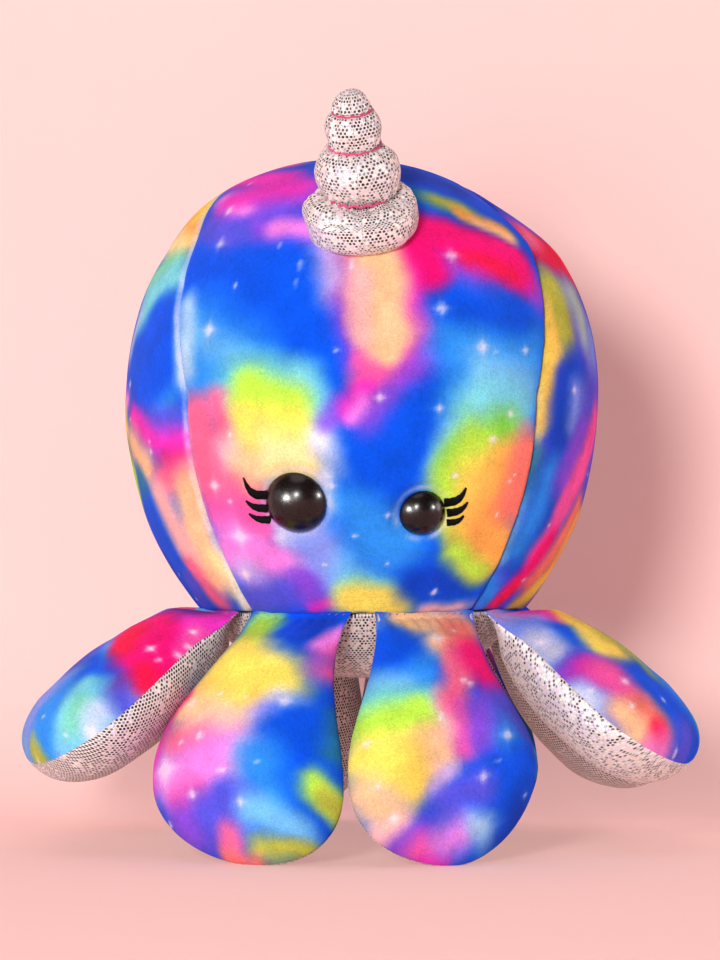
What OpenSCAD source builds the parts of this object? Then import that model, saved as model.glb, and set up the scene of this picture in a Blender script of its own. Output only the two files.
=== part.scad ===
// Stuffed plush octopus with a soft horn. It stands on the front and back pairs of its
// eight arms and faces -Y, with +Z up. Left is -X and right is +X, as seen from the front.

/* [Head] */
// Radius of the head at its widest level
head_r = 97; // [94:0.5:100]
// Height of the widest level above the table
head_z = 181.6; // [180:0.2:184]
// Height from the widest level to the crown
head_up = 97.6; // [95:0.2:100]
// Half height of the ellipse that the lower half follows
head_down = 117; // [115:0.5:119]
// Squareness of the upper half, where 2 is an ellipse
head_power = 2.15; // [2:0.05:2.3]
// Width of the front panel, as an angle at the axis
front_panel_angle = 92; // [86:1:98]
// How far back the crown, where the panels meet, leans from straight up
crown_lean = 23; // [10:1:26]
// Thickness of the printed plush, with its pile
plush_t = 2; // [1.6:0.1:2.4]
// Thickness of the dotted foil fabric
foil_t = 1.4; // [1.2:0.1:1.8]

/* [Arms] */
// Length of the four arms that the toy stands on, from the seam at the head to the tip
standing_len = 104; // [102:0.5:106]
// Length of the arms that hang free
free_len = 97; // [90:0.5:104]
// Half width of an arm at its seam
arm_root_half_w = 20.5; // [18:0.5:22]
// Half width of an arm's paddle at its widest
arm_half_w = 40.5; // [36:0.5:41]
// Half thickness of a stuffed arm
arm_half_t = 18.5; // [15:0.5:19]
// Height of the arm seams above the table
seam_z = 94.3; // [94:0.1:95]
// Droop of the four arms that the toy stands on, below level
standing_droop = 65; // [64:0.5:66]
// Droop of the pair beside the front arms
mid_droop = 37; // [32:1:40]
// Droop of the pair behind that one, on the left and on the right
aft_left_droop = 40; // [36:1:46]
aft_right_droop = 45; // [36:1:46]

/* [Horn] */
// Lean of the horn toward the face
horn_lean = 25; // [20:1:28]
// Lean of the horn to the left
horn_tilt = 5.4; // [0:0.1:8]
// Radius of the fat ring at the foot of the horn
horn_base_r = 22.3; // [20:0.1:24]
// Distance from the head to the tip
horn_len = 55.4; // [53:0.1:58]

/* [Face] */
// Radius of the left eye
left_eye_r = 12.2; // [11:0.1:13]
// Radius of the right eye
right_eye_r = 9.1; // [8:0.1:10]

/* [Hidden] */
$fn = 96;

ARM_NAMES = ["front_left", "front_right", "mid_left", "mid_right",
             "aft_left", "aft_right", "back_left", "back_right"];

// Each arm: its direction from the front (right is positive), its droop, its length, how
// far its middle bows to the right and how far its tip leans to the right.
ARMS = [
    [-22.5, standing_droop, standing_len, -11, 0],
    [22.5, standing_droop, standing_len, 0, -6],
    [-67.5, mid_droop, free_len, 0, 0],
    [67.5, mid_droop, free_len, 0, 0],
    [-112.5, aft_left_droop, free_len, 0, 0],
    [112.5, aft_right_droop, free_len, 0, 0],
    [-157.5, standing_droop, standing_len, 6, 0],
    [157.5, standing_droop, standing_len, -6, 0],
];

// Clearance between a cover and its stuffing
ease = 0.3;
// Gap along the seams between two panels of the head, as an angle at the axis
seam_gap = 0.3;
// Clearance inside the head, where the flat facets of the panels dip below its round outline
panel_ease = 1.4;
// The lower edge of the printed panels stands this far above the arm seams
rim_rise = 1.8;
rim_z = seam_z + rim_rise;
// Radius of the stitched row that each arm hangs from
stitch_r = 1.6;
// The base panel ends this far inside the arm seams, and bulges down this much
base_inset = 1.8;
base_drop = 22;
base_power = 2.2;

// The panels stop just short of the crown.
crown_end = 1.97;
panel_steps = 20;
panel_across = 10;
// Side panels are narrower than the front and back ones.
side_panel_angle = 180 - front_panel_angle;

function ellipse_side(x) = sqrt(max(0, 1 - x * x));

// Outline of the head, drawn in by "inset": its radius at a height, and the outline's
// points from the rim up to the crown.
function head_radius(z, inset = 0) =
    z > head_z
    ? (head_r - inset)
        * pow(1 - pow((z - head_z) / (head_up - inset), head_power), 1 / head_power)
    : (head_r - inset) * ellipse_side((head_z - z) / (head_down - inset));

seam_r = head_radius(seam_z);
head_steps = 16;
function lower_outline(inset, z0) =
    let (a0 = asin((head_z - z0) / (head_down - inset)))
    [for (i = [0:head_steps - 1]) let (a = a0 * (1 - i / head_steps))
        [(head_r - inset) * cos(a), head_z - (head_down - inset) * sin(a)]];
function upper_outline(inset, end) =
    [for (i = [0:head_steps]) let (a = end * i / head_steps)
        [(head_r - inset) * pow(cos(a), 2 / head_power),
         head_z + (head_up - inset) * pow(sin(a), 2 / head_power)]];
function head_outline(inset, z0, end) = concat(lower_outline(inset, z0), upper_outline(inset, end));
function reversed(list) = [for (i = [len(list) - 1:-1:0]) list[i]];

// Elevation of the head's outward normal at a height below the widest level
function normal_elevation(z) =
    atan2((z - head_z) / pow(head_down, 2), head_radius(z) / pow(head_r, 2));

// Places its children on the lower half of the head with +Z pointing outward.
module on_head(azimuth, z) {
    rotate([0, 0, azimuth])
        translate([0, -head_radius(z), z])
            rotate([90 - normal_elevation(z), 0, 0])
                children();
}

// A point on the head in a direction from the front, drawn in by "inset". Going up from
// the rim, v runs from 0 to 1 at the widest level, and on to 2 at the crown, where the
// panels meet behind the top.
function head_point(azimuth, v, inset) =
    v < 1
    ? let (a = asin((head_z - rim_z) / (head_down - inset)) * (1 - v),
           r = (head_r - inset) * cos(a))
        [r * sin(azimuth), -r * cos(azimuth), head_z - (head_down - inset) * sin(a)]
    : let (level = [sin(azimuth), -cos(azimuth), 0],
           crown = [0, sin(crown_lean), cos(crown_lean)],
           d = (2 - v) * level + (v - 1) * crown,
           reach = pow(norm([d[0], d[1]]) / (head_r - inset), head_power)
               + pow(d[2] / (head_up - inset), head_power))
        [0, 0, head_z] + d * pow(reach, -1 / head_power);

// One panel of the head's cover, centred on a direction from the front
module head_panel(azimuth, width) {
    function arc(v, inset) =
        [for (j = [0:panel_across])
            head_point(azimuth + (width - seam_gap) * (j / panel_across - 0.5), v, inset)];
    points = [for (i = [0:panel_steps])
        let (v = crown_end * i / panel_steps)
        each concat(reversed(arc(v, 0)), arc(v, plush_t))];
    polyhedron(points, tube_faces(panel_steps, 2 * (panel_across + 1)));
}

module head_front_panel() {
    color("royalblue")
        difference() {
            head_panel(0, front_panel_angle);
            on_head(left_eye_azimuth, left_eye_z) eye_seat(left_eye_r);
            on_head(right_eye_azimuth, right_eye_z) eye_seat(right_eye_r);
        }
}

module head_left_panel() {
    color("dodgerblue") head_panel(-90, side_panel_angle);
}

module head_right_panel() {
    color("slateblue") head_panel(90, side_panel_angle);
}

module head_back_panel() {
    color("mediumorchid") head_panel(180, front_panel_angle);
}

// The silver panel under the head, inside the ring of arms
base_r = seam_r - base_inset;
base_steps = 12;
function base_z(r) = seam_z - base_drop * (1 - pow(r / base_r, base_power));
function base_outline(rise, r_end) =
    [for (i = [0:base_steps]) let (r = r_end * i / base_steps) [r, base_z(r) + rise]];

module base_panel() {
    color("silver")
        rotate_extrude()
            polygon(concat(base_outline(0, base_r), reversed(base_outline(foil_t, base_r))));
}

module head_stuffing() {
    inset = plush_t + panel_ease;
    color("whitesmoke")
        difference() {
            rotate_extrude()
                polygon(concat(base_outline(foil_t + ease, base_r - plush_t),
                               lower_outline(inset, rim_z),
                               upper_outline(inset, 90)));
            on_head(left_eye_azimuth, left_eye_z) washer_pocket(left_eye_r);
            on_head(right_eye_azimuth, right_eye_z) washer_pocket(right_eye_r);
        }
}

// The eyes: a glossy dome on a shank, held by a washer inside the head
left_eye_azimuth = -16.6;
left_eye_z = 139.3;
right_eye_azimuth = 15.3;
right_eye_z = 135.2;
// The dome's back lies this far below the cloth around it
eye_sink = 0.9;
// Height of the dome's cylindrical rim, and of the dome as a share of its radius
eye_rim = 0.6;
eye_rise = 0.62;
shank_r = 2.4;
shank_len = 13;
washer_t = 1.6;
washer_share = 0.75;
shank_fit = 0.1;
// The cuts for the eyes stand this far above the cloth, and for the shank this far below it
cut_h = 10;

module eye_seat(r) {
    translate([0, 0, -eye_sink]) cylinder(r = r + shank_fit, h = cut_h);
    translate([0, 0, -cut_h]) cylinder(r = shank_r + shank_fit, h = cut_h + 1, $fn = 32);
}

module eye(r) {
    rise = r * eye_rise;
    ball_r = (r * r + rise * rise) / (2 * rise);
    color([0.09, 0.05, 0.05]) {
        translate([0, 0, -eye_sink])
            cylinder(r = r, h = eye_rim);
        translate([0, 0, eye_rim - eye_sink])
            intersection() {
                translate([0, 0, rise - ball_r]) sphere(r = ball_r);
                cylinder(r = r, h = rise);
            }
        translate([0, 0, -shank_len])
            cylinder(r = shank_r, h = shank_len - eye_sink, $fn = 32);
    }
}

module washer(r) {
    color("white")
        translate([0, 0, -plush_t - panel_ease - washer_t])
            difference() {
                cylinder(r = r * washer_share, h = washer_t);
                translate([0, 0, -1])
                    cylinder(r = shank_r + shank_fit, h = washer_t + 2, $fn = 32);
            }
}

module washer_pocket(r) {
    depth = plush_t + panel_ease + washer_t + ease;
    translate([0, 0, -depth]) cylinder(r = r * washer_share + ease, h = depth + cut_h);
    translate([0, 0, -shank_len - ease]) cylinder(r = shank_r + ease, h = shank_len, $fn = 32);
}

module left_eye() {
    on_head(left_eye_azimuth, left_eye_z) eye(left_eye_r);
}

module right_eye() {
    on_head(right_eye_azimuth, right_eye_z) eye(right_eye_r);
}

module left_eye_washer() {
    on_head(left_eye_azimuth, left_eye_z) washer(left_eye_r);
}

module right_eye_washer() {
    on_head(right_eye_azimuth, right_eye_z) washer(right_eye_r);
}

// Each lash: where it starts at the eye, the point that it bends toward, and its tip, as
// x and z on the front of the head
LEFT_LASHES = [
    [[-38.6, 142.4], [-44, 142.6], [-46.4, 149.3]],
    [[-38.9, 138], [-42.6, 137.6], [-45.6, 140.8]],
    [[-37.9, 133.5], [-41.4, 133], [-44.3, 135.8]],
];
RIGHT_LASHES = [
    [[32.4, 139.8], [36.8, 139.8], [39.4, 145.8]],
    [[33.6, 136.2], [37.4, 136.2], [39.8, 140.2]],
    [[33, 132.8], [36, 132.8], [37.8, 135.2]],
];
lash_root_half_w = 1.5;
lash_tip_half_w = 0.3;
lash_lift = 0.05;
lash_t = 0.7;
lash_steps = 6;

function bend(p, t) = (1 - t) * (1 - t) * p[0] + 2 * t * (1 - t) * p[1] + t * t * p[2];
function bend_side(p, t) =
    let (d = (1 - t) * (p[1] - p[0]) + t * (p[2] - p[1])) [-d[1], d[0]] / norm(d);

// A point over the front of the head, at a height above the cloth
function over_face(q, lift) =
    let (y = -sqrt(pow(head_radius(q[1]), 2) - q[0] * q[0]),
         n = [q[0] / pow(head_r, 2), y / pow(head_r, 2), (q[1] - head_z) / pow(head_down, 2)])
    [q[0], y, q[1]] + lift * n / norm(n);

module lash(p) {
    points = [for (i = [0:lash_steps])
        let (t = i / lash_steps, c = bend(p, t),
             w = bend_side(p, t) * (lash_root_half_w + (lash_tip_half_w - lash_root_half_w) * t))
        each [over_face(c + w, lash_lift), over_face(c - w, lash_lift),
              over_face(c - w, lash_lift + lash_t), over_face(c + w, lash_lift + lash_t)]];
    polyhedron(points, tube_faces(lash_steps, 4));
}

// Triangles of a closed tube of rings, each of "count" points, with an end cap made of
// strips between the ring's first half and its second half
function tube_faces(steps, count) = concat(
    [for (i = [0:steps - 1], k = [0:count - 1])
        let (a = i * count + k, b = i * count + (k + 1) % count)
        each [[a, b, b + count], [a, b + count, a + count]]],
    [for (j = [0:count / 2 - 2])
        let (a = j, b = j + 1, c = count - 2 - j, d = count - 1 - j)
        each [[a, c, b], [a, d, c]]],
    [for (j = [0:count / 2 - 2])
        let (o = steps * count, a = o + j, b = o + j + 1, c = o + count - 2 - j, d = o + count - 1 - j)
        each [[a, b, c], [a, c, d]]]);

module left_lashes() {
    color([0.03, 0.02, 0.03])
        for (p = LEFT_LASHES) lash(p);
}

module right_lashes() {
    color([0.03, 0.02, 0.03])
        for (p = RIGHT_LASHES) lash(p);
}

// The horn: a fat base ring sewn to the head, and a pinched cone that rocks on it. Its
// own axis is +Z here, and 0 is at the head.
horn_at = [0, -73.5, 249];
horn_base_half_h = 9.9;
horn_base_centre = 0.2;
// Thread pulled tight around the horn: its heights, and the horn's radius there
WAISTS = [11.7, 32.3, 46.6];
WAIST_R = [11.2, 9.6, 7.2];
// How far the cloth bulges between two threads
BULGES = [4.8, 2];
thread_r = 0.6;
// Gap between a thread and the waist, which clears the cloth that bulges above and below it
thread_gap = 0.25;
rock_r = 11.2;
rock_fit = 0.4;
// The cone's round heel is cut level at this angle below its widest
heel_angle = 40;
horn_steps = 8;

module in_horn_frame() {
    translate(horn_at) rotate([horn_lean, -horn_tilt, 0]) children();
}

module head_solid(grow) {
    rotate_extrude() polygon(concat([[0, rim_z]], head_outline(-grow, rim_z, 90)));
}

module horn_base_shape(inset) {
    r = horn_base_r - inset;
    h = horn_base_half_h - inset;
    rotate_extrude()
        polygon([for (i = [0:2 * horn_steps]) let (a = -90 + 90 * i / horn_steps)
            [r * cos(a), horn_base_centre + h * sin(a)]]);
}

module rocking_space(r) {
    translate([0, 0, WAISTS[0]]) sphere(r = r);
}

module horn_base_cover() {
    color("silver")
        difference() {
            in_horn_frame()
                difference() {
                    horn_base_shape(0);
                    horn_base_shape(foil_t);
                    rocking_space(rock_r + rock_fit);
                }
            head_solid(0.05);
        }
}

module horn_base_stuffing() {
    color("whitesmoke")
        difference() {
            in_horn_frame()
                difference() {
                    horn_base_shape(foil_t + ease);
                    rocking_space(rock_r + rock_fit);
                }
            head_solid(ease);
        }
}

// Outline of the cone, drawn in by "inset", from its round heel up to its tip
function heel_outline(inset) =
    let (a0 = -asin(sin(heel_angle) - inset / rock_r * (1 - sin(heel_angle))))
    concat([[0, WAISTS[0] + (rock_r - inset) * sin(a0)]],
           [for (i = [0:horn_steps - 1]) let (a = a0 * (1 - i / horn_steps))
               [(rock_r - inset) * cos(a), WAISTS[0] + (rock_r - inset) * sin(a)]]);
function lobe_outline(k, inset) =
    [for (i = [0:horn_steps - 1]) let (t = i / horn_steps)
        [WAIST_R[k] + (WAIST_R[k + 1] - WAIST_R[k]) * t + BULGES[k] * sin(180 * t) - inset,
         WAISTS[k] + (WAISTS[k + 1] - WAISTS[k]) * t]];
function tip_outline(inset) =
    [for (i = [0:horn_steps]) let (a = 90 * i / horn_steps)
        [(WAIST_R[2] - inset) * cos(a), WAISTS[2] + (horn_len - WAISTS[2] - inset) * sin(a)]];
function cone_outline(inset) =
    concat(heel_outline(inset), lobe_outline(0, inset), lobe_outline(1, inset), tip_outline(inset));

module horn_cover() {
    color("silver")
        in_horn_frame()
            rotate_extrude()
                difference() {
                    polygon(cone_outline(0));
                    polygon(cone_outline(foil_t));
                }
}

module horn_stuffing() {
    color("whitesmoke")
        in_horn_frame()
            rotate_extrude()
                polygon(cone_outline(foil_t + ease));
}

module horn_threads() {
    color("deeppink")
        in_horn_frame()
            for (k = [0:2])
                translate([0, 0, WAISTS[k]])
                    rotate_extrude()
                        translate([WAIST_R[k] + thread_r + thread_gap, 0]) circle(r = thread_r, $fn = 24);
}

// The stitched rows that the arms hang from, one per arm
module arm_root_stitches() {
    color("mediumpurple")
        for (arm = ARMS)
            rotate([0, 0, arm[0]])
                translate([-arm_root_half_w, -seam_r, seam_z])
                    rotate([0, 90, 0])
                        cylinder(r = stitch_r, h = 2 * arm_root_half_w, $fn = 32);
}

// An arm's shape along its length f, from 0 at the seam to 1 at the tip. Its width swells
// to a paddle and its thickness grows from a wedge at the seam.
arm_start = 0.022;
arm_widest = 0.68;
arm_width_end = 1.018;
arm_thickest = 0.55;
arm_thick_end = 1.04;
arm_wedge = 0.86;
arm_steps = 11;
arm_across = 8;
arm_edge_power = 1.24;
// The two halves of an arm meet along its edge seam, this far from its middle surface.
half_gap = 0.1;

function arm_half_width(f) =
    f < arm_widest
    ? arm_root_half_w + (arm_half_w - arm_root_half_w) * (1 - cos(180 * f / arm_widest)) / 2
    : arm_half_w * ellipse_side((f - arm_widest) / (arm_width_end - arm_widest));
function arm_half_thickness(f) =
    f < arm_thickest
    ? min(arm_half_t * ellipse_side((f - arm_thickest) / arm_thickest),
          arm_wedge * f * standing_len)
    : arm_half_t * pow(ellipse_side((f - arm_thickest) / (arm_thick_end - arm_thickest)), 1.4);

function arm_station(i) = arm_start + (1 - arm_start) * (1 - cos(180 * i / arm_steps)) / 2;

// A point of an arm: f along it, u to the right across it and t above its middle surface.
// The standing arms end at the table: points at the tip or below it slide to its level.
function arm_point(arm, f, u, t) =
    let (droop = arm[1],
         across = u + arm[3] * sin(180 * f) + arm[4] * f,
         along = f * arm[2],
         out = along * cos(droop) + t * sin(droop),
         up = -along * sin(droop) + t * cos(droop),
         lands = droop == standing_droop && (f == 1 || seam_z + up < 0),
         slide = lands ? (seam_z + up) / sin(droop) : 0,
         r = seam_r + out + slide * cos(droop))
    [across * cos(arm[0]) + r * sin(arm[0]),
     across * sin(arm[0]) - r * cos(arm[0]),
     seam_z + up - slide * sin(droop)];

// One arc across an arm, from its left edge to its right edge
function arm_arc(arm, f, w, h, side) =
    [for (j = [0:arm_across]) let (a = 180 * j / arm_across)
        arm_point(arm, f, -w * cos(a), side * (half_gap + h * pow(sin(a), arm_edge_power)))];

// Half of an arm's cover: side is 1 for the printed top and -1 for the foil underside.
module arm_cover(arm, side, thickness) {
    points = [for (i = [0:arm_steps])
        let (f = arm_station(i), w = arm_half_width(f), h = arm_half_thickness(f),
             open = i > 0 && i < arm_steps - 1,
             outer = arm_arc(arm, f, w, h, side),
             inner = arm_arc(arm, f, w - thickness - half_gap, open ? max(0, h - thickness) : 0, side))
        each (side > 0 ? concat(outer, reversed(inner)) : concat(reversed(outer), inner))];
    polyhedron(points, tube_faces(arm_steps, 2 * (arm_across + 1)));
}

// The filling reaches from the second ring to the last but two.
module arm_stuffing(arm) {
    inset = plush_t + ease;
    first = 2;
    last = arm_steps - 2;
    points = [for (i = [first:last])
        let (f = arm_station(i), w = arm_half_width(f) - inset - 2 * half_gap,
             h = arm_half_thickness(f) - inset,
             top = arm_arc(arm, f, w, h, 1), under = arm_arc(arm, f, w, h, -1))
        each concat(top, reversed(under))];
    polyhedron(points, tube_faces(last - first, 2 * (arm_across + 1)));
}

module arm_piece(k, piece) {
    if (piece == "top")
        color(k % 2 == 0 ? "hotpink" : "deepskyblue") arm_cover(ARMS[k], 1, plush_t);
    if (piece == "underside")
        color("silver") arm_cover(ARMS[k], -1, foil_t);
    if (piece == "stuffing")
        color("whitesmoke") arm_stuffing(ARMS[k]);
}

head_front_panel();
head_left_panel();
head_right_panel();
head_back_panel();
base_panel();
head_stuffing();
arm_root_stitches();
left_eye();
right_eye();
left_eye_washer();
right_eye_washer();
left_lashes();
right_lashes();
horn_base_cover();
horn_base_stuffing();
horn_cover();
horn_stuffing();
horn_threads();
for (k = [0:len(ARMS) - 1], piece = ["top", "underside", "stuffing"])
    arm_piece(k, piece);
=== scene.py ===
import math
from collections import namedtuple

import bpy
import numpy as np
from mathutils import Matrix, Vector


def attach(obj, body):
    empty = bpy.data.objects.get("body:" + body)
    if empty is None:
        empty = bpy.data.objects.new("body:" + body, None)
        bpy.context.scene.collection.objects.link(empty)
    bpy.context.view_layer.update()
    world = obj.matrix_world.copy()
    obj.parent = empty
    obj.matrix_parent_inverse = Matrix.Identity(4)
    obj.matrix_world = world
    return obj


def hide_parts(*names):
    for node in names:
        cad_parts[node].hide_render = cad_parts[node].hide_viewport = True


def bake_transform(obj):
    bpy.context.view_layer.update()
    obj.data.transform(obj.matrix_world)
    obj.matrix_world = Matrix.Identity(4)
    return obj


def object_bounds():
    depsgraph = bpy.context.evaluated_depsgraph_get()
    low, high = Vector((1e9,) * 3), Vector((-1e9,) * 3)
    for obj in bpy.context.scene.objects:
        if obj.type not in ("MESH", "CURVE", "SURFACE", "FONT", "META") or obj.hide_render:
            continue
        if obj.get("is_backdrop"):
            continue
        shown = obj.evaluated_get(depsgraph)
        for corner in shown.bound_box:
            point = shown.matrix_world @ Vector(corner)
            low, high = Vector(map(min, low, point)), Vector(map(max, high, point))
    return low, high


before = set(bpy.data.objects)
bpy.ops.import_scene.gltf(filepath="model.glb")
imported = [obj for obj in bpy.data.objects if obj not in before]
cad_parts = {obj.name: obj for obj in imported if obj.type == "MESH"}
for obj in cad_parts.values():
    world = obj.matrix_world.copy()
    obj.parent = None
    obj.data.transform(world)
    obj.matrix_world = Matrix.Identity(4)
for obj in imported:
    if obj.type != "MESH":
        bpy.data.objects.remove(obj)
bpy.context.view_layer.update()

# Lengths here are in millimetres, as in the CAD source, but for the camera, the backdrop and the
# lights, which are in metres, as all meshes are once they are made.
MM = 0.001

# ---------------------------------------------------------------- camera and stage

CAMERA_DISTANCE = 1.65
camera_data = bpy.data.cameras.new("camera")
camera_data.lens = 151
camera_data.sensor_width = 36
camera = bpy.data.objects.new("camera", camera_data)
camera.location = (-0.0008, -CAMERA_DISTANCE, 0.1482)
camera.rotation_euler = (math.radians(90), 0, 0)
bpy.context.scene.collection.objects.link(camera)
bpy.context.scene.camera = camera

# ---------------------------------------------------------------- noise and colour


def hashed(ix, iy, iz, seed):
    """A repeatable number from -1 to 1 for each lattice point."""
    n = (ix * 73856093) ^ (iy * 19349663) ^ (iz * 83492791) ^ (seed * 40503 + 977)
    n = (n ^ (n >> 13)) & 0x7FFFFFFF
    n = (n * 1103515245 + 12345) & 0x7FFFFFFF
    n = (n ^ (n >> 11)) * 48271 & 0x7FFFFFFF
    return (n & 0xFFFF) / 32767.5 - 1


def noise(p, size, seed):
    """Smooth noise from -1 to 1 at each point, with features about size across."""
    q = p / size + 300.0
    i = np.floor(q).astype(np.int64)
    f = q - i
    f = f * f * (3 - 2 * f)
    total = np.zeros(p.shape[:-1])
    for dx in (0, 1):
        for dy in (0, 1):
            for dz in (0, 1):
                weight = 1.0
                for k, d in enumerate((dx, dy, dz)):
                    weight = weight * (f[..., k] if d else 1 - f[..., k])
                total += weight * hashed(i[..., 0] + dx, i[..., 1] + dy, i[..., 2] + dz, seed)
    return total


def noise3(p, size, seed):
    return np.stack([noise(p, size, seed + k) for k in range(3)], -1)


def smooth(x):
    x = np.clip(x, 0, 1)
    return x * x * (3 - 2 * x)


def stacked(x, y, z):
    """Points from their three coordinates, each of them an array or a number."""
    return np.stack(np.broadcast_arrays(x, y, z), -1)


def over(colour, alpha, paint):
    """The colour under a layer of paint, as opaque as alpha says."""
    return colour * (1 - alpha) + alpha * paint


def linear(rgb):
    rgb = np.asarray(rgb, float)
    return np.where(rgb <= 0.04045, rgb / 12.92, ((rgb + 0.055) / 1.055) ** 2.4)


def srgb(r, g, b):
    return tuple(linear(np.array([r, g, b]) / 255)) + (1.0,)


# ---------------------------------------------------------------- the head's shape

# The head is widest at HEAD_Z, and reaches HEAD_UP above that level and would reach HEAD_DOWN below it.
HEAD_R, HEAD_Z, HEAD_UP, HEAD_DOWN, HEAD_POWER = 97, 181.6, 97.6, 117, 2.15
# The arms are sewn on at SEAM_Z, just under the rim of the head's cover.
SEAM_Z = 94.3
RIM_Z = SEAM_Z + 1.8
CROWN_LEAN = math.radians(23)
PLUSH_T, FOIL_T = 1.8, 1.2


def head_radius(z):
    z = np.asarray(z, float)
    up = np.clip((z - HEAD_Z) / HEAD_UP, 0, 1)
    down = np.clip((HEAD_Z - z) / HEAD_DOWN, 0, 1)
    return HEAD_R * np.where(z > HEAD_Z, (1 - up**HEAD_POWER) ** (1 / HEAD_POWER), np.sqrt(1 - down**2))


SEAM_R = float(head_radius(SEAM_Z))


def head_point(azimuth, v):
    """Points on the head. azimuth is in radians from the front.

    v is 0 at the rim, 1 at the widest level and 2 at the crown.
    """
    azimuth, v = np.broadcast_arrays(np.asarray(azimuth, float), np.asarray(v, float))
    a = math.asin((HEAD_Z - RIM_Z) / HEAD_DOWN) * (1 - np.minimum(v, 1))
    r = HEAD_R * np.cos(a)
    low = stacked(r * np.sin(azimuth), -r * np.cos(azimuth), HEAD_Z - HEAD_DOWN * np.sin(a))
    w = np.clip(v - 1, 0, 1)
    y = -(1 - w) * np.cos(azimuth) + w * math.sin(CROWN_LEAN)
    d = stacked((1 - w) * np.sin(azimuth), y, w * math.cos(CROWN_LEAN))
    reach = (np.hypot(d[..., 0], d[..., 1]) / HEAD_R) ** HEAD_POWER + (d[..., 2] / HEAD_UP) ** HEAD_POWER
    high = np.array([0, 0, HEAD_Z]) + d * (reach ** (-1 / HEAD_POWER))[..., None]
    return np.where((v < 1)[..., None], low, high)


def head_normal(p):
    """The outward direction of the head's surface at each point."""
    r = np.maximum(np.hypot(p[..., 0], p[..., 1]), 1e-6)
    dz = p[..., 2] - HEAD_Z
    up = dz > 0
    radial = np.where(up, (r / HEAD_R) ** (HEAD_POWER - 1) / HEAD_R, r / HEAD_R**2)
    rise = np.where(up, (np.abs(dz) / HEAD_UP) ** (HEAD_POWER - 1) / HEAD_UP, dz / HEAD_DOWN**2)
    n = stacked(p[..., 0] / r * radial, p[..., 1] / r * radial, rise)
    return n / np.linalg.norm(n, axis=-1, keepdims=True)


def on_front(x, z):
    """The head's front at a place across and up."""
    return np.array([x, -math.sqrt(max(float(head_radius(z)) ** 2 - x * x, 0)), z])


def at_azimuth(azimuth, z):
    """A place on the head, from degrees round it from the front, and a height."""
    a = math.radians(azimuth)
    r = float(head_radius(z))
    return np.array([r * math.sin(a), -r * math.cos(a), z])


def directions(p):
    """Directions at a place on the head: across it, up it and out of it."""
    n = head_normal(p)
    across = np.cross([0, 0, 1.0], n)
    across = across / np.linalg.norm(across)
    return np.stack([across, np.cross(n, across), n])


# Each eye: its azimuth, height and radius
EYES = {"left": (-16.6, 139.3, 12.2), "right": (15.3, 135.2, 9.1)}


def socket_depth(p):
    """How far the cloth is drawn in under and round each eye."""
    depth = np.zeros(p.shape[:-1])
    for azimuth, z, r in EYES.values():
        d = np.linalg.norm(p - at_azimuth(azimuth, z), axis=-1)
        depth += 1.9 * (1 - smooth((d - r + 2) / 8)) - 0.9 * np.exp(-(((d - r - 6) / 4) ** 2))
    return depth


def lumps(p):
    """The uneven filling under the cloth."""
    return 0.7 * noise(p, 42, 5) + 0.35 * noise(p, 19, 11)


def leaning(p):
    """The crown sits a little to the left, and is slimmer on the right."""
    out = np.array(p, float)
    rise = smooth((out[..., 2] - 238) / 30)
    out[..., 0] = out[..., 0] * np.where(out[..., 0] > 0, 1 - 0.05 * rise, 1) - 5.0 * rise
    return out


def over_face(x, z, lift):
    """A place lifted off the cloth of the front panel."""
    p = on_front(x, z)
    return p + head_normal(p) * (lift - float(socket_depth(p)) + float(lumps(p)))


# ---------------------------------------------------------------- meshes


def faces_of_grid(rows, cols, wrap):
    """Four-sided faces of a grid of points. With wrap, the last column joins the first."""
    i, j = np.meshgrid(np.arange(rows - 1), np.arange(cols if wrap else cols - 1), indexing="ij")
    k = (j + 1) % cols
    return np.stack([i * cols + j, i * cols + k, (i + 1) * cols + k, (i + 1) * cols + j], -1).reshape(-1, 4)


def cap_faces(first, sides, last):
    """Flat faces over a ring of points that starts at first, at the first or the last end."""
    quads = [[k, k + 1, sides - k - 2, sides - k - 1] for k in range(sides // 2 - 1)]
    return first + np.array([quad if last else quad[::-1] for quad in quads])


def distance_along(grid, axis):
    """How far each point of a grid is from its row's or column's first one, over the surface."""
    steps = np.diff(grid, axis=axis, prepend=grid.take([0], axis))
    return np.cumsum(np.linalg.norm(steps, axis=-1), axis=axis)


def make_mesh(name, points, faces, colours=None, cloth=None):
    """A smooth mesh object from points in millimetres.

    cloth is each point's place on the flat cloth, and the painted light, or painted shade below 0, of its
    foil dots.
    """
    points = np.asarray(points, float).reshape(-1, 3)
    a, b, c, d = (points[faces[:, k]] for k in range(4))
    volume = (np.cross(a, b) * c).sum() + (np.cross(a, c) * d).sum()
    if volume < 0:
        faces = faces[:, ::-1]
    me = bpy.data.meshes.new(name)
    me.vertices.add(len(points))
    me.vertices.foreach_set("co", (points * MM).astype(np.float32).ravel())
    me.loops.add(faces.size)
    me.loops.foreach_set("vertex_index", faces.ravel().astype(np.int32))
    me.polygons.add(len(faces))
    me.polygons.foreach_set("loop_start", np.arange(0, faces.size, 4, dtype=np.int32))
    me.polygons.foreach_set("use_smooth", np.ones(len(faces), bool))
    attributes = [("rest", "FLOAT_VECTOR", "vector", points)]
    if colours is not None:
        rgba = np.concatenate([colours.reshape(-1, 3), np.ones((len(points), 1))], 1)
        attributes.append(("print", "FLOAT_COLOR", "color", rgba))
    if cloth is not None:
        attributes.append(("cloth", "FLOAT_VECTOR", "vector", cloth))
    for title, kind, field, values in attributes:
        attribute = me.attributes.new(title, kind, "POINT")
        attribute.data.foreach_set(field, np.asarray(values, np.float32).ravel())
    me.update(calc_edges=True)
    me.validate()
    obj = bpy.data.objects.new(name, me)
    bpy.context.scene.collection.objects.link(obj)
    return obj


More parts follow.
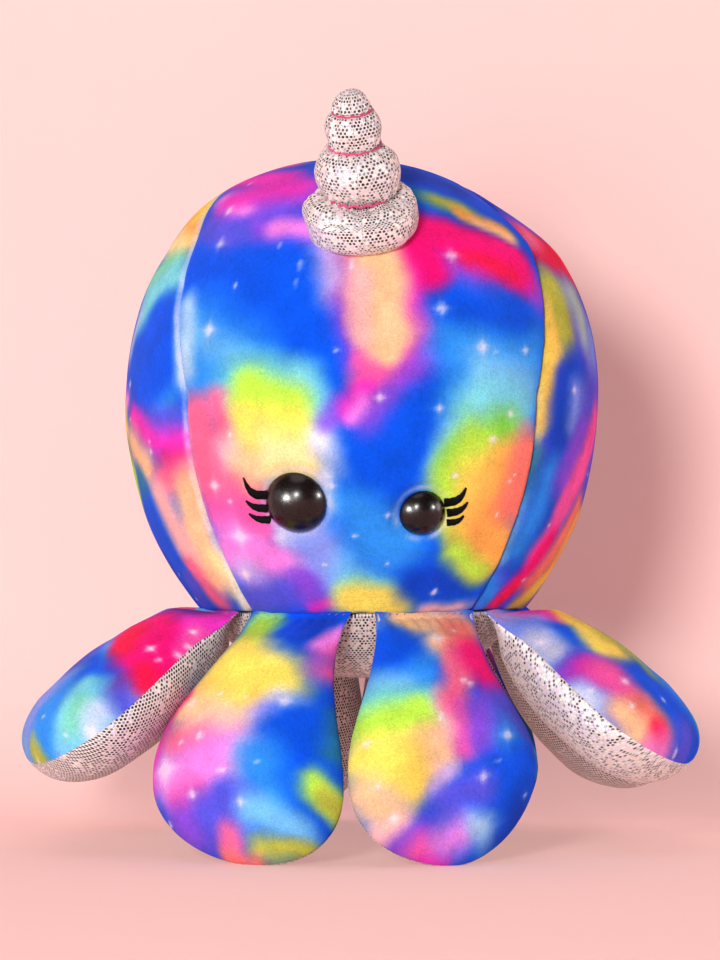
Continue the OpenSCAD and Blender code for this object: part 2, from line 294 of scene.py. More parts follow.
def make_shell(name, outer, inner, wrap=False, colours=None, cloth=None):
    """A closed sheet of cloth between two grids of points, its outside and its inside."""
    rows, cols = outer.shape[:2]
    n = rows * cols
    grid = faces_of_grid(rows, cols, wrap)
    faces = [grid, grid[:, ::-1] + n]
    index = np.arange(n).reshape(rows, cols)
    rims = [index[0][::-1], index[-1]]
    if not wrap:
        rims += [index[:, 0], index[:, -1][::-1]]
    for rim in rims:
        after = np.roll(rim, -1) if wrap else rim[1:]
        before = rim if wrap else rim[:-1]
        faces.append(np.stack([before, before + n, after + n, after], -1)[:, ::-1])
    if colours is not None:
        inside = np.broadcast_to(linear(np.array([0.9, 0.88, 0.9])), colours.shape)
        colours = np.concatenate([colours.reshape(-1, 3), inside.reshape(-1, 3)])
    if cloth is not None:
        cloth = np.concatenate([cloth.reshape(-1, 3), cloth.reshape(-1, 3)])
    points = np.concatenate([outer.reshape(-1, 3), inner.reshape(-1, 3)])
    return make_mesh(name, points, np.concatenate(faces), colours, cloth)


def make_lathe(name, profile, centre, turn):
    """A closed solid of revolution, from (radius, height) pairs along its axis."""
    around = 128
    theta = np.arange(around) * 2 * math.pi / around
    profile = np.array(profile, float)
    r, h = np.maximum(profile[:, 0], 0.02)[:, None], profile[:, 1][:, None]
    points = stacked(r * np.cos(theta), r * np.sin(theta), h) @ turn + centre
    faces = [faces_of_grid(len(profile), around, True), cap_faces(0, around, False)]
    faces.append(cap_faces((len(profile) - 1) * around, around, True))
    return make_mesh(name, points, np.concatenate(faces))


# ---------------------------------------------------------------- the print

PALETTE = {
    "blue": (2, 84, 238), "deep": (10, 66, 200), "azure": (44, 142, 246), "sky": (112, 190, 248),
    "aqua": (120, 214, 232), "mint": (128, 224, 190), "teal": (40, 128, 176), "lime": (186, 240, 74),
    "green": (120, 205, 70), "olive": (186, 190, 70), "yellow": (250, 229, 98), "gold": (253, 214, 92),
    "cream": (253, 232, 164), "peach": (253, 200, 152), "blush": (251, 190, 188), "coral": (250, 126, 112),
    "orange": (252, 172, 84), "red": (246, 20, 76), "hot": (247, 8, 122), "pink": (246, 88, 172),
    "rose": (246, 104, 148), "magenta": (236, 50, 196), "orchid": (238, 132, 232), "lilac": (200, 172, 244),
    "violet": (134, 74, 224), "indigo": (84, 84, 226), "plum": (120, 50, 170), "peri": (128, 150, 240),
    "pale": (222, 226, 250), "ice": (176, 214, 248), "sage": (166, 188, 190),
}

# A stroke: colour, radius, softness, then the places that it runs through. On the front
# panel a place is across and up; on a side panel it is degrees from the front and up.
FRONT = [
    ("blue", 200, 5, (0, 180)), ("azure", 15, 11, (-66, 206), (-48, 196)),
    ("sky", 11, 10, (-68, 200), (-56, 194)), ("azure", 12, 10, (-66, 188), (-58, 184)),
    ("ice", 4, 5, (-69, 218), (-69, 190)), ("mint", 15, 9, (-44, 182), (-32, 180)),
    ("aqua", 7, 8, (-24, 188), (-18, 176)), ("lime", 10, 6, (-44, 181), (-30, 177)),
    ("yellow", 10, 7, (-42, 166), (-28, 166)), ("cream", 11, 7, (-42, 156), (-26, 154)),
    ("pale", 6, 6, (-16, 164), (-6, 157)), ("pale", 4, 5, (-14, 150), (-12, 138)),
    ("rose", 9, 6, (-66, 172), (-62, 156)), ("rose", 5, 6, (-58, 178), (-56, 166)),
    ("yellow", 5, 6, (-49, 172), (-46, 162)), ("blush", 6, 7, (-52, 158), (-50, 150)),
    ("peach", 7, 6, (-46, 150), (-44, 144)), ("rose", 10, 7, (-60, 146), (-46, 136)),
    ("pink", 8, 7, (-56, 134), (-40, 131)), ("orchid", 11, 7, (-52, 122), (-30, 116)),
    ("lilac", 7, 6, (-46, 112), (-42, 108)), ("pale", 4, 4, (-30, 127), (-18, 128)),
    ("peri", 11, 8, (-16, 122), (-12, 108)), ("indigo", 9, 7, (-44, 101), (-26, 104)),
    ("violet", 5, 5, (-24, 110), (-20, 102)), ("magenta", 3, 4, (-14, 100), (-18, 98)),
    ("sky", 8, 7, (-4, 114), (2, 108)), ("mint", 9, 5, (-2, 104), (10, 103)),
    ("yellow", 9, 5, (-3, 101), (11, 100)), ("azure", 14, 9, (2, 138), (10, 124)),
    ("blue", 15, 8, (6, 160), (20, 150)), ("deep", 9, 7, (22, 108), (40, 112)),
    ("blush", 3, 4, (24, 97), (44, 99)), ("violet", 4, 5, (-14, 172), (-8, 178)),
    ("violet", 13, 8, (-50, 255), (-20, 262)), ("magenta", 9, 7, (-52, 268), (-26, 268)),
    ("pink", 5, 5, (-44, 274), (-20, 276)), ("orchid", 5, 5, (-50, 262), (-42, 256)),
    ("magenta", 7, 7, (-46, 261), (-20, 264)), ("violet", 8, 7, (-40, 247), (-4, 244)),
    ("orchid", 5, 5, (-32, 247), (-10, 243)), ("indigo", 7, 6, (-60, 248), (-50, 244)),
    ("lilac", 6, 6, (-14, 236), (-10, 222)), ("violet", 4, 6, (-7, 218), (-4, 196)),
    ("pink", 15, 6, (6, 236), (12, 206)), ("magenta", 7, 5, (22, 232), (20, 206), (14, 192)),
    ("pink", 9, 5, (14, 202), (4, 188)), ("magenta", 5, 4, (2, 184), (-4, 176)),
    ("peach", 11, 6, (4, 238), (8, 208)), ("peach", 7, 5, (10, 204), (9, 198)),
    ("blush", 4, 4, (-2, 226), (0, 206)), ("pink", 3, 4, (-1, 196), (6, 190)),
    ("violet", 5, 6, (26, 196), (10, 180), (2, 172)), ("orchid", 3, 4, (1, 179), (-3, 173)),
    ("violet", 9, 6, (34, 226), (68, 224)), ("azure", 16, 10, (40, 204), (62, 200)),
    ("blue", 8, 6, (32, 216), (62, 214)), ("sky", 12, 9, (50, 188), (60, 184)),
    ("azure", 6, 6, (36, 188), (34, 176)), ("aqua", 11, 8, (46, 178), (58, 174)),
    ("sky", 5, 6, (34, 168), (28, 146)), ("mint", 5, 6, (40, 172), (34, 160)),
    ("green", 10, 6, (54, 166), (40, 154), (36, 142)), ("lime", 9, 6, (44, 162), (36, 148), (36, 136)),
    ("olive", 8, 6, (38, 132), (46, 116)), ("gold", 10, 7, (46, 150), (44, 130)),
    ("orange", 11, 7, (56, 154), (50, 132), (52, 120)), ("coral", 9, 6, (64, 160), (60, 140)),
    ("lime", 5, 6, (36, 122), (46, 112)), ("hot", 12, 6, (24, 246), (40, 241), (60, 233)),
    ("hot", 7, 6, (20, 240), (26, 228)), ("red", 4, 5, (40, 234), (58, 228)),
    ("deep", 9, 5, (18, 272), (40, 266)), ("teal", 6, 6, (26, 262), (36, 259)),
    ("olive", 5, 5, (34, 260), (46, 256)), ("orange", 5, 4, (44, 254), (58, 247)),
    ("peach", 3, 4, (50, 250), (60, 244)), ("indigo", 3, 3, (48, 266), (62, 255)),
]
LEFT = [
    ("blue", 200, 5, (70, 180)), ("orange", 14, 7, (74, 256), (66, 248)),
    ("gold", 8, 6, (84, 262), (70, 258)), ("cream", 8, 7, (66, 240), (80, 244)),
    ("mint", 9, 7, (64, 232), (76, 228)), ("aqua", 8, 7, (58, 228), (72, 218)),
    ("ice", 6, 5, (50, 224), (47, 206), (46, 190)), ("ice", 5, 6, (76, 214), (80, 200)),
    ("blush", 6, 5, (88, 236), (90, 214)), ("violet", 7, 6, (86, 206), (84, 186)),
    ("blue", 10, 6, (60, 212), (60, 184)), ("azure", 6, 6, (52, 180), (56, 176)),
    ("indigo", 7, 6, (50, 172), (62, 172)), ("magenta", 6, 5, (46, 164), (58, 164), (70, 174)),
    ("orchid", 4, 5, (76, 182), (84, 180)), ("gold", 8, 6, (82, 172), (92, 168)),
    ("peach", 8, 6, (74, 164), (66, 156)), ("hot", 5, 5, (44, 156), (54, 156)),
    ("rose", 8, 6, (46, 152), (58, 150)), ("peach", 11, 7, (48, 142), (52, 112)),
    ("blush", 7, 6, (62, 144), (58, 120)), ("rose", 6, 6, (60, 112), (56, 100)),
    ("cream", 4, 4, (46, 118), (43, 99)), ("olive", 8, 5, (84, 158), (86, 142)),
    ("lime", 5, 4, (80, 152), (82, 144)), ("teal", 5, 5, (72, 150), (74, 142)),
    ("blue", 8, 5, (74, 136), (70, 112)), ("indigo", 6, 5, (66, 106), (70, 98)),
    ("deep", 12, 7, (92, 128), (86, 104)),
]
RIGHT = [
    ("indigo", 200, 5, (70, 180)), ("deep", 12, 7, (50, 266), (66, 258)),
    ("violet", 7, 6, (62, 252), (74, 252)), ("red", 11, 6, (58, 244), (80, 236)),
    ("rose", 5, 5, (66, 249), (60, 244)), ("coral", 5, 5, (84, 244), (90, 236)),
    ("olive", 10, 7, (58, 224), (56, 208)), ("gold", 6, 5, (50, 226), (50, 200), (46, 184)),
    ("cream", 4, 4, (47, 206), (45, 168)), ("sage", 10, 8, (70, 222), (72, 208)),
    ("peri", 8, 7, (80, 206), (76, 196)), ("deep", 12, 8, (60, 188), (56, 168)),
    ("indigo", 8, 7, (74, 186), (68, 180)), ("violet", 5, 6, (84, 186), (78, 180)),
    ("deep", 10, 7, (54, 150), (52, 118)), ("azure", 6, 7, (52, 150), (48, 120)),
    ("gold", 6, 5, (49, 224), (48, 196), (46, 172)), ("cream", 2, 4, (46, 206), (45, 156)),
    ("peri", 5, 7, (62, 184), (60, 170)), ("teal", 5, 5, (45, 158), (43, 140)),
    ("sky", 4, 4, (43, 140), (42, 116)), ("azure", 5, 5, (43, 106), (46, 100)),
    ("violet", 9, 6, (68, 166), (60, 148)), ("pink", 8, 5, (78, 172), (72, 156), (64, 138)),
    ("pink", 6, 5, (64, 138), (58, 118)), ("hot", 5, 4, (62, 124), (54, 104)),
    ("red", 4, 4, (56, 106), (52, 99)), ("violet", 7, 6, (92, 170), (86, 150)),
    ("coral", 6, 5, (76, 138), (64, 108)), ("orange", 8, 5, (82, 130), (72, 102)),
    ("gold", 5, 4, (76, 108), (66, 98)),
]
# On an arm a place is across, to the right, and along from the seam at the head.
ARM_A = [
    ("blue", 200, 5, (0, 50)), ("deep", 8, 6, (12, 4), (18, 14)), ("mint", 5, 5, (-14, 4), (-9, 9)),
    ("lime", 7, 5, (-14, 8), (-9, 18)), ("yellow", 12, 6, (-14, 24), (12, 33)),
    ("gold", 9, 6, (-20, 36), (2, 42)), ("peach", 9, 7, (-24, 44), (-8, 51)),
    ("blush", 6, 6, (-22, 56), (0, 54)), ("hot", 4, 4, (-29, 38), (-37, 56)),
    ("magenta", 5, 5, (-35, 54), (-39, 72)), ("rose", 7, 6, (-26, 60), (-14, 60)),
    ("orchid", 11, 7, (-26, 74), (0, 66)), ("lilac", 6, 6, (6, 60), (8, 74)),
    ("pink", 6, 6, (-24, 84), (-14, 82)), ("pale", 5, 5, (16, 41), (20, 43)),
    ("lilac", 4, 5, (8, 48), (14, 46)), ("blue", 13, 7, (24, 54), (24, 80)),
    ("azure", 8, 7, (12, 66), (14, 80)), ("teal", 5, 6, (36, 44), (38, 58)),
    ("pink", 5, 5, (23, 12), (28, 25)), ("orchid", 3, 4, (22, 6), (20, 14)),
    ("lime", 6, 5, (32, 74), (40, 82)), ("olive", 5, 4, (36, 78), (42, 82)),
    ("deep", 7, 6, (30, 94), (22, 98)), ("violet", 9, 7, (-26, 92), (-8, 92)),
    ("indigo", 9, 7, (-10, 90), (2, 86)), ("sky", 7, 6, (10, 88), (22, 91)),
    ("rose", 5, 5, (-2, 97), (-6, 103)), ("olive", 4, 4, (8, 101), (24, 100)),
    ("coral", 3, 4, (-10, 104), (4, 105)),
]
ARM_B = [
    ("blue", 200, 5, (0, 50)), ("peach", 9, 6, (-8, 2), (10, 6), (2, 16)),
    ("coral", 7, 6, (12, 8), (8, 26)), ("peri", 4, 4, (-24, 2), (-26, 12)),
    ("blue", 9, 5, (-19, 12), (-17, 26)), ("sky", 6, 6, (-27, 30), (-14, 33)),
    ("azure", 5, 6, (-9, 26), (-7, 44)), ("mint", 9, 6, (-26, 42), (-12, 46)),
    ("lime", 9, 6, (-30, 50), (-16, 50)), ("lime", 5, 5, (-14, 46), (-12, 50)),
    ("yellow", 12, 6, (-32, 64), (-16, 68)), ("gold", 9, 6, (-20, 76), (-12, 66)),
    ("peach", 7, 6, (-37, 76), (-27, 88)), ("peach", 6, 6, (-9, 58), (-8, 70)),
    ("blush", 5, 6, (-2, 44), (-2, 56)), ("rose", 6, 5, (6, 24), (1, 42)),
    ("hot", 8, 6, (15, 22), (22, 36)), ("pink", 5, 5, (4, 46), (3, 64)),
    ("violet", 8, 7, (14, 48), (12, 58)), ("indigo", 10, 8, (26, 46), (32, 62)),
    ("azure", 6, 7, (22, 58), (25, 62)), ("blue", 12, 8, (30, 74), (20, 84)),
    ("indigo", 8, 7, (-6, 84), (8, 80)), ("lilac", 3, 5, (-10, 78), (-4, 72)),
    ("blush", 5, 5, (-30, 92), (-24, 92)), ("violet", 5, 5, (-22, 97), (-16, 94)),
    ("pink", 4, 4, (-16, 98), (-12, 99)), ("orchid", 5, 6, (-6, 97), (0, 95)),
    ("ice", 4, 5, (6, 93), (14, 96)), ("deep", 6, 6, (26, 90), (20, 98)),
    ("mint", 3, 4, (41, 66), (41, 78)), ("magenta", 3, 3, (-6, 104), (-14, 103)),
]
ARM_C = [
    ("sky", 200, 5, (0, 50)), ("magenta", 18, 6, (18, 4), (26, 32)), ("plum", 8, 6, (4, 8), (8, 20)),
    ("hot", 14, 6, (8, 30), (26, 40)), ("red", 7, 5, (6, 36), (12, 44)), ("red", 5, 5, (32, 46), (36, 52)),
    ("pink", 3, 4, (34, 30), (26, 18)), ("plum", 4, 5, (16, 52), (30, 57)),
    ("blue", 9, 6, (2, 58), (16, 62)), ("azure", 9, 8, (0, 70), (12, 78)),
    ("aqua", 7, 6, (20, 66), (24, 80)), ("mint", 4, 5, (28, 72), (28, 80)),
    ("pale", 4, 5, (35, 70), (36, 76)), ("indigo", 4, 5, (34, 60), (38, 62)),
    ("peri", 8, 7, (-6, 66), (-4, 88)), ("azure", 7, 6, (8, 86), (14, 92)),
    ("olive", 4, 3, (4, 95), (14, 97)), ("plum", 3, 3, (20, 96), (24, 94)),
    ("violet", 12, 8, (-24, 20), (-28, 48)), ("pink", 9, 8, (-32, 64), (-26, 80)),
    ("indigo", 6, 6, (-12, 56), (-8, 48)),
]
ARM_D = [
    ("blue", 200, 5, (0, 50)), ("lilac", 9, 6, (-18, 2), (-10, 8)), ("magenta", 6, 6, (-8, 8), (-6, 16)),
    ("coral", 6, 5, (0, 16), (-4, 22)), ("gold", 8, 5, (6, 14), (-2, 28), (-8, 44)),
    ("yellow", 6, 5, (-4, 26), (-12, 40)), ("olive", 6, 5, (2, 38), (4, 58)),
    ("peri", 8, 6, (-26, 14), (-30, 34)), ("pale", 4, 5, (-24, 20), (-28, 30)),
    ("indigo", 4, 5, (-24, 38), (-30, 40)), ("violet", 5, 4, (-34, 42), (-28, 42)),
    ("magenta", 7, 5, (-27, 46), (-26, 52)), ("pink", 8, 6, (-24, 52), (-28, 68)),
    ("coral", 8, 6, (-26, 74), (-24, 84)), ("peach", 5, 5, (-34, 68), (-32, 80)),
    ("red", 3, 4, (-24, 84), (-22, 86)), ("orchid", 5, 5, (-22, 92), (-28, 90)),
    ("pale", 4, 5, (-38, 50), (-38, 60)), ("indigo", 7, 6, (-6, 88), (-12, 97)),
    ("plum", 3, 3, (-20, 97), (-22, 98)), ("azure", 9, 8, (12, 60), (16, 82)),
    ("pink", 9, 8, (26, 30), (30, 58)), ("mint", 8, 7, (20, 88), (30, 78)),
]
# A star: its place and its size
FRONT_STARS = [
    (-60, 207, 3.4), (-48, 126, 4.6), (-46, 111, 3), (-58, 146, 2.6), (-56, 242, 2.6), (-50, 256, 3),
    (35, 236, 3), (31, 215, 3), (47, 200, 3.2), (-50, 224, 1.2), (30, 176, 1.8), (7, 180, 2),
    (28, 104, 1.6), (64, 199, 1.8), (58, 174, 1.6), (51, 164, 2), (-12, 146, 1.6), (36, 150, 1.6),
    (-4, 232, 2), (-24, 232, 1.6), (10, 135, 1.2), (-40, 268, 1.6),
]
ARM_STARS = {
    "A": [(-31, 70, 6.5), (-4, 72, 1.8), (3, 84, 1.8), (-18, 81, 2.2), (-22, 43, 2.2), (18, 42, 2.6),
          (-14, 58, 2)],
    "B": [(9, 75, 2.4), (-27, 87, 2), (22, 58, 3), (-1, 14, 3), (-34, 56, 1.6), (6, 34, 1.6)],
    "C": [(24, 36, 2.4), (24, 18, 1.6), (36, 78, 2.6), (30, 30, 1.6)],
    "D": [(-26, 24, 2), (-22, 60, 2.4), (-10, 74, 1.6), (-30, 70, 1.6)],
}


def near_stroke(p, places):
    """Distance from each point to a run of straight pieces."""
    best = np.full(p.shape[0], 1e9)
    for a, b in zip(places[:-1], places[1:]) if len(places) > 1 else [(places[0], places[0])]:
        ab = b - a
        t = np.clip(((p - a) @ ab) / max(ab @ ab, 1e-9), 0, 1)
        best = np.minimum(best, np.linalg.norm(p - a - t[:, None] * ab, axis=1))
    return best


def paint(p, strokes, to_space, seed):
    """The print's colour at each point: each stroke covers those before it, with soft and wavy edges."""
    p = p.astype(float)
    where = p + 2.4 * noise3(p, 26, seed) + 1.3 * noise3(p, 9, seed + 7) + 0.5 * noise3(p, 3.2, seed + 13)
    colour = np.zeros((len(p), 3))
    for name, radius, soft, *places in strokes:
        d = near_stroke(where, [to_space(*q) for q in places]) - radius
        alpha = smooth(0.5 - d / (2 * soft))[:, None]
        colour = over(colour, alpha, np.array(PALETTE[name]) / 255)
    cloud = 0.06 * noise(p, 14, seed + 21) + 0.04 * noise(p, 5, seed + 22)
    return np.clip(colour * (1 + cloud[:, None]), 0, 1)


# A star's opacity, from 0 to 1
STAR_STRENGTH = 0.72


def add_stars(colour, p, stars):
    """Soft four-pointed stars. Each one is its centre, its directions across and up, and its size."""
    for centre, across, up, size in stars:
        d = p - centre
        near = np.flatnonzero((d * d).sum(1) < (size * 4) ** 2)
        q = d[near]
        x, y = np.abs(q @ across), np.abs(q @ up)
        glow = 0.75 * np.exp(-((np.linalg.norm(q, axis=1) / (0.75 * size)) ** 2))
        long, thin = 0.9 * size, 0.2 * size + 0.3
        rays = np.exp(-x / long - (y / thin) ** 2) + np.exp(-y / long - (x / thin) ** 2)
        alpha = (STAR_STRENGTH * np.clip(glow + 0.6 * rays, 0, 1))[:, None]
        colour[near] = over(colour[near], alpha, np.array([0.97, 0.93, 1.0]))
    return colour


def arm_star(x, y, size):
    """A star on an arm's flat print."""
    return np.array([x, y, 0.0]), np.array([1.0, 0, 0]), np.array([0, 1.0, 0]), size


def head_star(centre, size):
    """A star that lies flat on the head's surface."""
    across, up, _ = directions(centre)
    return centre, across, up, size


# Colours in the order in which they lie side by side in a swirl
WHEEL = ["deep", "blue", "azure", "sky", "mint", "lime", "yellow",
         "peach", "rose", "hot", "magenta", "orchid", "violet", "indigo"]


def random_strokes(seed, count, azimuths, heights):
    """Swirls for the parts of the head that turn away from the front.

    Each is a run of bands side by side. A place is degrees from the front and up. A degree is
    nearly 2 mm round the head, so there are about half as many degrees as millimetres.
    """
    rng = np.random.default_rng(seed)
    made = []
    for _ in range(count):
        a, z = rng.uniform(*azimuths), rng.uniform(*heights)
        turn, reach, colour = rng.uniform(0, 2 * math.pi), rng.uniform(12, 34), rng.integers(len(WHEEL))
        width = rng.uniform(9, 14)
        for band in range(4):
            aside = 0.8 * band * width
            start = (a - 0.55 * aside * math.sin(turn), z + aside * math.cos(turn))
            bend = turn + 0.25 * band
            end_z = min(max(start[1] + reach * math.sin(bend), 98), 274)
            end = (start[0] + 0.55 * reach * math.cos(bend), end_z)
            made.append((WHEEL[(colour + band) % len(WHEEL)], width * (1 - 0.16 * band), 7, start, end))
    return made


# ---------------------------------------------------------------- materials


class Nodes:
    """A material's nodes, made one call each."""

    def __init__(self, name):
        self.material = bpy.data.materials.new(name)
        self.material.use_nodes = True
        self.tree = self.material.node_tree
        self.shader = self.tree.nodes["Principled BSDF"]

    def link(self, a, b):
        self.tree.links.new(a, b)

    def put(self, value, socket):
        """Sets a socket to a plain value, or links an output to it."""
        if isinstance(value, (int, float, tuple)):
            socket.default_value = value
        else:
            self.link(value, socket)

    def new(self, kind, inputs=(), **settings):
        """A new node of a kind, with its first inputs given in order, and its settings by name."""
        n = self.tree.nodes.new("ShaderNode" + kind)
        for name, value in settings.items():
            setattr(n, name, value)
        for k, value in enumerate(inputs):
            self.put(value, n.inputs[k])
        return n

    def attribute(self, name, output="Vector"):
        return self.new("Attribute", attribute_name=name).outputs[output]

    def coordinate(self):
        return self.new("TexCoord").outputs["Object"]

    def math(self, operation, a, b=0.0, c=0.0):
        return self.new("Math", (a, b, c), operation=operation).outputs[0]

    def vector(self, operation, a, b=(0, 0, 0)):
        n = self.new("VectorMath", (a, b), operation=operation)
        return n.outputs["Value" if operation == "LENGTH" else "Vector"]

    def noise(self, vector, scale, detail=2.0, rough=0.5):
        n = self.new("TexNoise")
        for name, value in (("Vector", vector), ("Scale", scale), ("Detail", detail), ("Roughness", rough)):
            self.put(value, n.inputs[name])
        return n.outputs["Fac"]

    def span(self, value, a, b, c, d):
        """Turns a value from a to b into one from c to d."""
        return self.new("MapRange", (value, a, b, c, d)).outputs[0]

    def level(self, noise, low, high):
        """A noise, which mostly lies from 0.3 to 0.7, turned into a value from low to high."""
        return self.span(noise, 0.3, 0.7, low, high)

    def mix(self, factor, a, b, blend="MIX"):
        n = self.new("Mix", (factor,), data_type="RGBA", blend_type=blend)
        self.put(a, n.inputs[6])
        self.put(b, n.inputs[7])
        return n.outputs[2]

    def split(self, vector):
        return self.new("SeparateXYZ", (vector,)).outputs

    def join(self, x, y, z=0.0):
        return self.new("CombineXYZ", (x, y, z)).outputs[0]

    def bump(self, height, strength, distance, normal=None):
        n = self.new("Bump")
        n.inputs["Strength"].default_value = strength
        n.inputs["Distance"].default_value = distance
        self.link(height, n.inputs["Height"])
        if normal is not None:
            self.link(normal, n.inputs["Normal"])
        return n.outputs[0]

    def set(self, **values):
        for name, value in values.items():
            self.put(value, self.shader.inputs[name.replace("_", " ")])


def plush_material():
    m = Nodes("printed_plush")
    rest = m.attribute("rest")
    colour = m.attribute("print", "Color")
    fine = m.noise(rest, 1.6, 3, 0.7)
    tufts = m.noise(rest, 0.55, 3, 0.6)
    patches = m.noise(rest, 0.07)
    light = m.math("MULTIPLY", m.level(fine, 0.8, 1.16), m.span(tufts, 0.25, 0.75, 0.9, 1.08))
    shade = m.math("MULTIPLY", light, m.level(patches, 0.96, 1.03))
    tone = m.join(shade, shade, shade)
    m.set(Base_Color=m.mix(1.0, colour, tone, "MULTIPLY"))
    m.set(Roughness=m.level(fine, 0.78, 0.98))
    m.set(Specular_IOR_Level=0.04, Sheen_Weight=0.04, Sheen_Roughness=0.5, Sheen_Tint=(1, 0.94, 0.98, 1))
    coarse = m.bump(tufts, 0.4, 0.001)
    m.set(Normal=m.bump(fine, 0.7, 0.0006, coarse))
    return m.material


# The foil dots' spacing, and that of their rows, which lie as in a honeycomb
DOT_PITCH = 1.55
DOT_ROWS = DOT_PITCH * math.sqrt(3) / 2
# A dot's cover ends between these distances from its centre.
DOT_INNER, DOT_OUTER = 0.48, 0.6


def foil_material():
    """Cream knit with a close pattern of small round foil dots, each of its own tint, with a painted
    reflection for its brightness.
    """
    m = Nodes("dotted_foil_fabric")
    cloth = m.attribute("cloth")
    rest = m.attribute("rest")
    # The cloth's third value is painted light for the dots, or painted shade where it is below 0.
    x, y, dot_painted_light_shade = m.split(cloth)
    # The dots' places are whole numbers in these slanted coordinates.
    along = m.math("SUBTRACT", m.math("DIVIDE", x, DOT_PITCH), m.math("DIVIDE", y, 2 * DOT_ROWS))
    up = m.math("DIVIDE", y, DOT_ROWS)
    cell = m.vector("FLOOR", m.vector("ADD", m.join(along, up), (0.5, 0.5, 0)))
    off = m.vector("SUBTRACT", m.join(along, up), cell)
    di, dj, _ = m.split(off)
    dx = m.math("MULTIPLY", m.math("ADD", di, m.math("MULTIPLY", dj, 0.5)), DOT_PITCH)
    dy = m.math("MULTIPLY", dj, DOT_ROWS)
    distance = m.vector("LENGTH", m.join(dx, dy))
    chance = m.new("TexWhiteNoise", (cell,), noise_dimensions="3D")
    wobble = m.level(m.noise(rest, 1.4), -0.08, 0.08)
    edge = m.math("ADD", distance, wobble)
    dot = m.span(edge, DOT_INNER, DOT_OUTER, 1.0, 0.0)
    knit = m.noise(rest, 1.9, 3, 0.65)
    cream = m.mix(m.level(knit, 0, 1), srgb(206, 196, 192), srgb(242, 234, 230))
    clouds = m.level(m.noise(rest, 0.09), -0.26, 0.18)
    # Each dot's painted reflection level: a random part, the piece's painted light or shade, and large
    # clouds of darker dots.
    painted_dot_reflection = m.math("ADD", m.math("ADD", chance.outputs["Value"], dot_painted_light_shade), clouds)
    # Dots run from dark over silver to white, as a painted reflection: each looks as if it mirrored a
    # darker or a brighter surrounding.
    ramp = m.new("ValToRGB", (painted_dot_reflection,))
    stops = ramp.color_ramp.elements
    stops[0].color, stops[1].color = srgb(34, 30, 40), srgb(255, 255, 250)
    for position, *rgb in ((0.3, 78, 74, 90), (0.5, 160, 160, 184), (0.7, 244, 246, 255)):
        stops.new(position).color = srgb(*rgb)
    tinted = m.mix(0.3, ramp.outputs[0], chance.outputs["Color"], "MULTIPLY")
    m.set(Base_Color=m.mix(dot, cream, tinted))
    m.set(Metallic=m.math("MULTIPLY", dot, 0.55))
    m.set(Roughness=m.span(dot, 0, 1, 0.85, 0.34))
    m.set(Sheen_Weight=0.15, Sheen_Roughness=0.5)
    grain = m.bump(knit, 0.5, 0.0005)
    m.set(Normal=m.bump(dot, 0.4, 0.0003, grain))
    return m.material


def thread_material(name, light, dark):
    m = Nodes(name)
    rest = m.attribute("rest")
    x, y, z = m.split(rest)
    ply = m.math("SINE", m.math("MULTIPLY", m.math("ADD", m.math("ADD", x, y), z), 9.0))
    m.set(Base_Color=m.mix(m.span(ply, -1, 1, 0, 1), dark, light))
    m.set(Roughness=m.level(m.noise(rest, 3.0), 0.5, 0.75))
    m.set(Sheen_Weight=0.25, Sheen_Roughness=0.4)
    m.set(Normal=m.bump(ply, 0.6, 0.0002))
    return m.material


def eye_material():
    m = Nodes("eye_plastic")
    rest = m.attribute("rest")
    cloud = m.noise(rest, 0.09)
    m.set(Base_Color=m.mix(m.level(cloud, 0, 1), srgb(8, 3, 2), srgb(20, 7, 5)))
    m.set(Roughness=m.level(m.noise(rest, 0.8, 3, 0.6), 0.22, 0.3))
    m.set(Specular_IOR_Level=0.42, IOR=1.47, Coat_Weight=0.06, Coat_Roughness=0.08)
    m.set(Normal=m.bump(m.noise(rest, 0.12), 0.03, 0.0004))
    return m.material


def lash_material():
    m = Nodes("lash_cloth")
    rest = m.attribute("rest")
    grain = m.noise(rest, 2.5, 3, 0.6)
    m.set(Base_Color=m.mix(m.level(grain, 0, 1), srgb(1, 1, 2), srgb(8, 6, 10)))
    m.set(Roughness=m.level(grain, 0.6, 0.85), Specular_IOR_Level=0.08)
    m.set(Normal=m.bump(grain, 0.4, 0.0002))
    return m.material


def washer_material():
    m = Nodes("washer_plastic")
    grain = m.noise(m.coordinate(), 900.0, 3, 0.6)
    m.set(Base_Color=m.mix(m.level(grain, 0, 1), srgb(226, 226, 220), srgb(240, 240, 236)))
    m.set(Roughness=m.level(grain, 0.45, 0.6))
    m.set(Normal=m.bump(grain, 0.2, 0.0002))
    return m.material


PLUSH, FOIL, EYE, LASH = plush_material(), foil_material(), eye_material(), lash_material()
PINK_THREAD = thread_material("pink_thread", srgb(250, 70, 150), srgb(196, 20, 96))
SEAM_THREAD = thread_material("seam_thread", srgb(120, 96, 200), srgb(70, 50, 140))
WASHER = washer_material()


def finished(obj, material, nodes, body=None):
    """Gives a piece its material and slot, and hides the CAD nodes that it stands for.

    body is what a piece that doesn't bend rides on.
    """
    obj.data.materials.append(material)
    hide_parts(*nodes)
    if body:
        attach(obj, body)


# ---------------------------------------------------------------- the head's panels

# Half of the front panel's angle, in degrees, higher up and at the rim
FRONT_HALF, FRONT_HALF_LOW = 46.0, 42.5
# The panels run from a little under the rim almost to the crown, in head_point's v.
PANEL_LOW, PANEL_HIGH = -0.04, 1.992
# Each panel stops this many degrees before its seams.
SEAM_GAP = 0.12


def front_seam(v):
    """Half of the front panel's angle, which narrows toward the rim."""
    return FRONT_HALF_LOW + (FRONT_HALF - FRONT_HALF_LOW) * smooth(np.asarray(v, float) / 0.9)


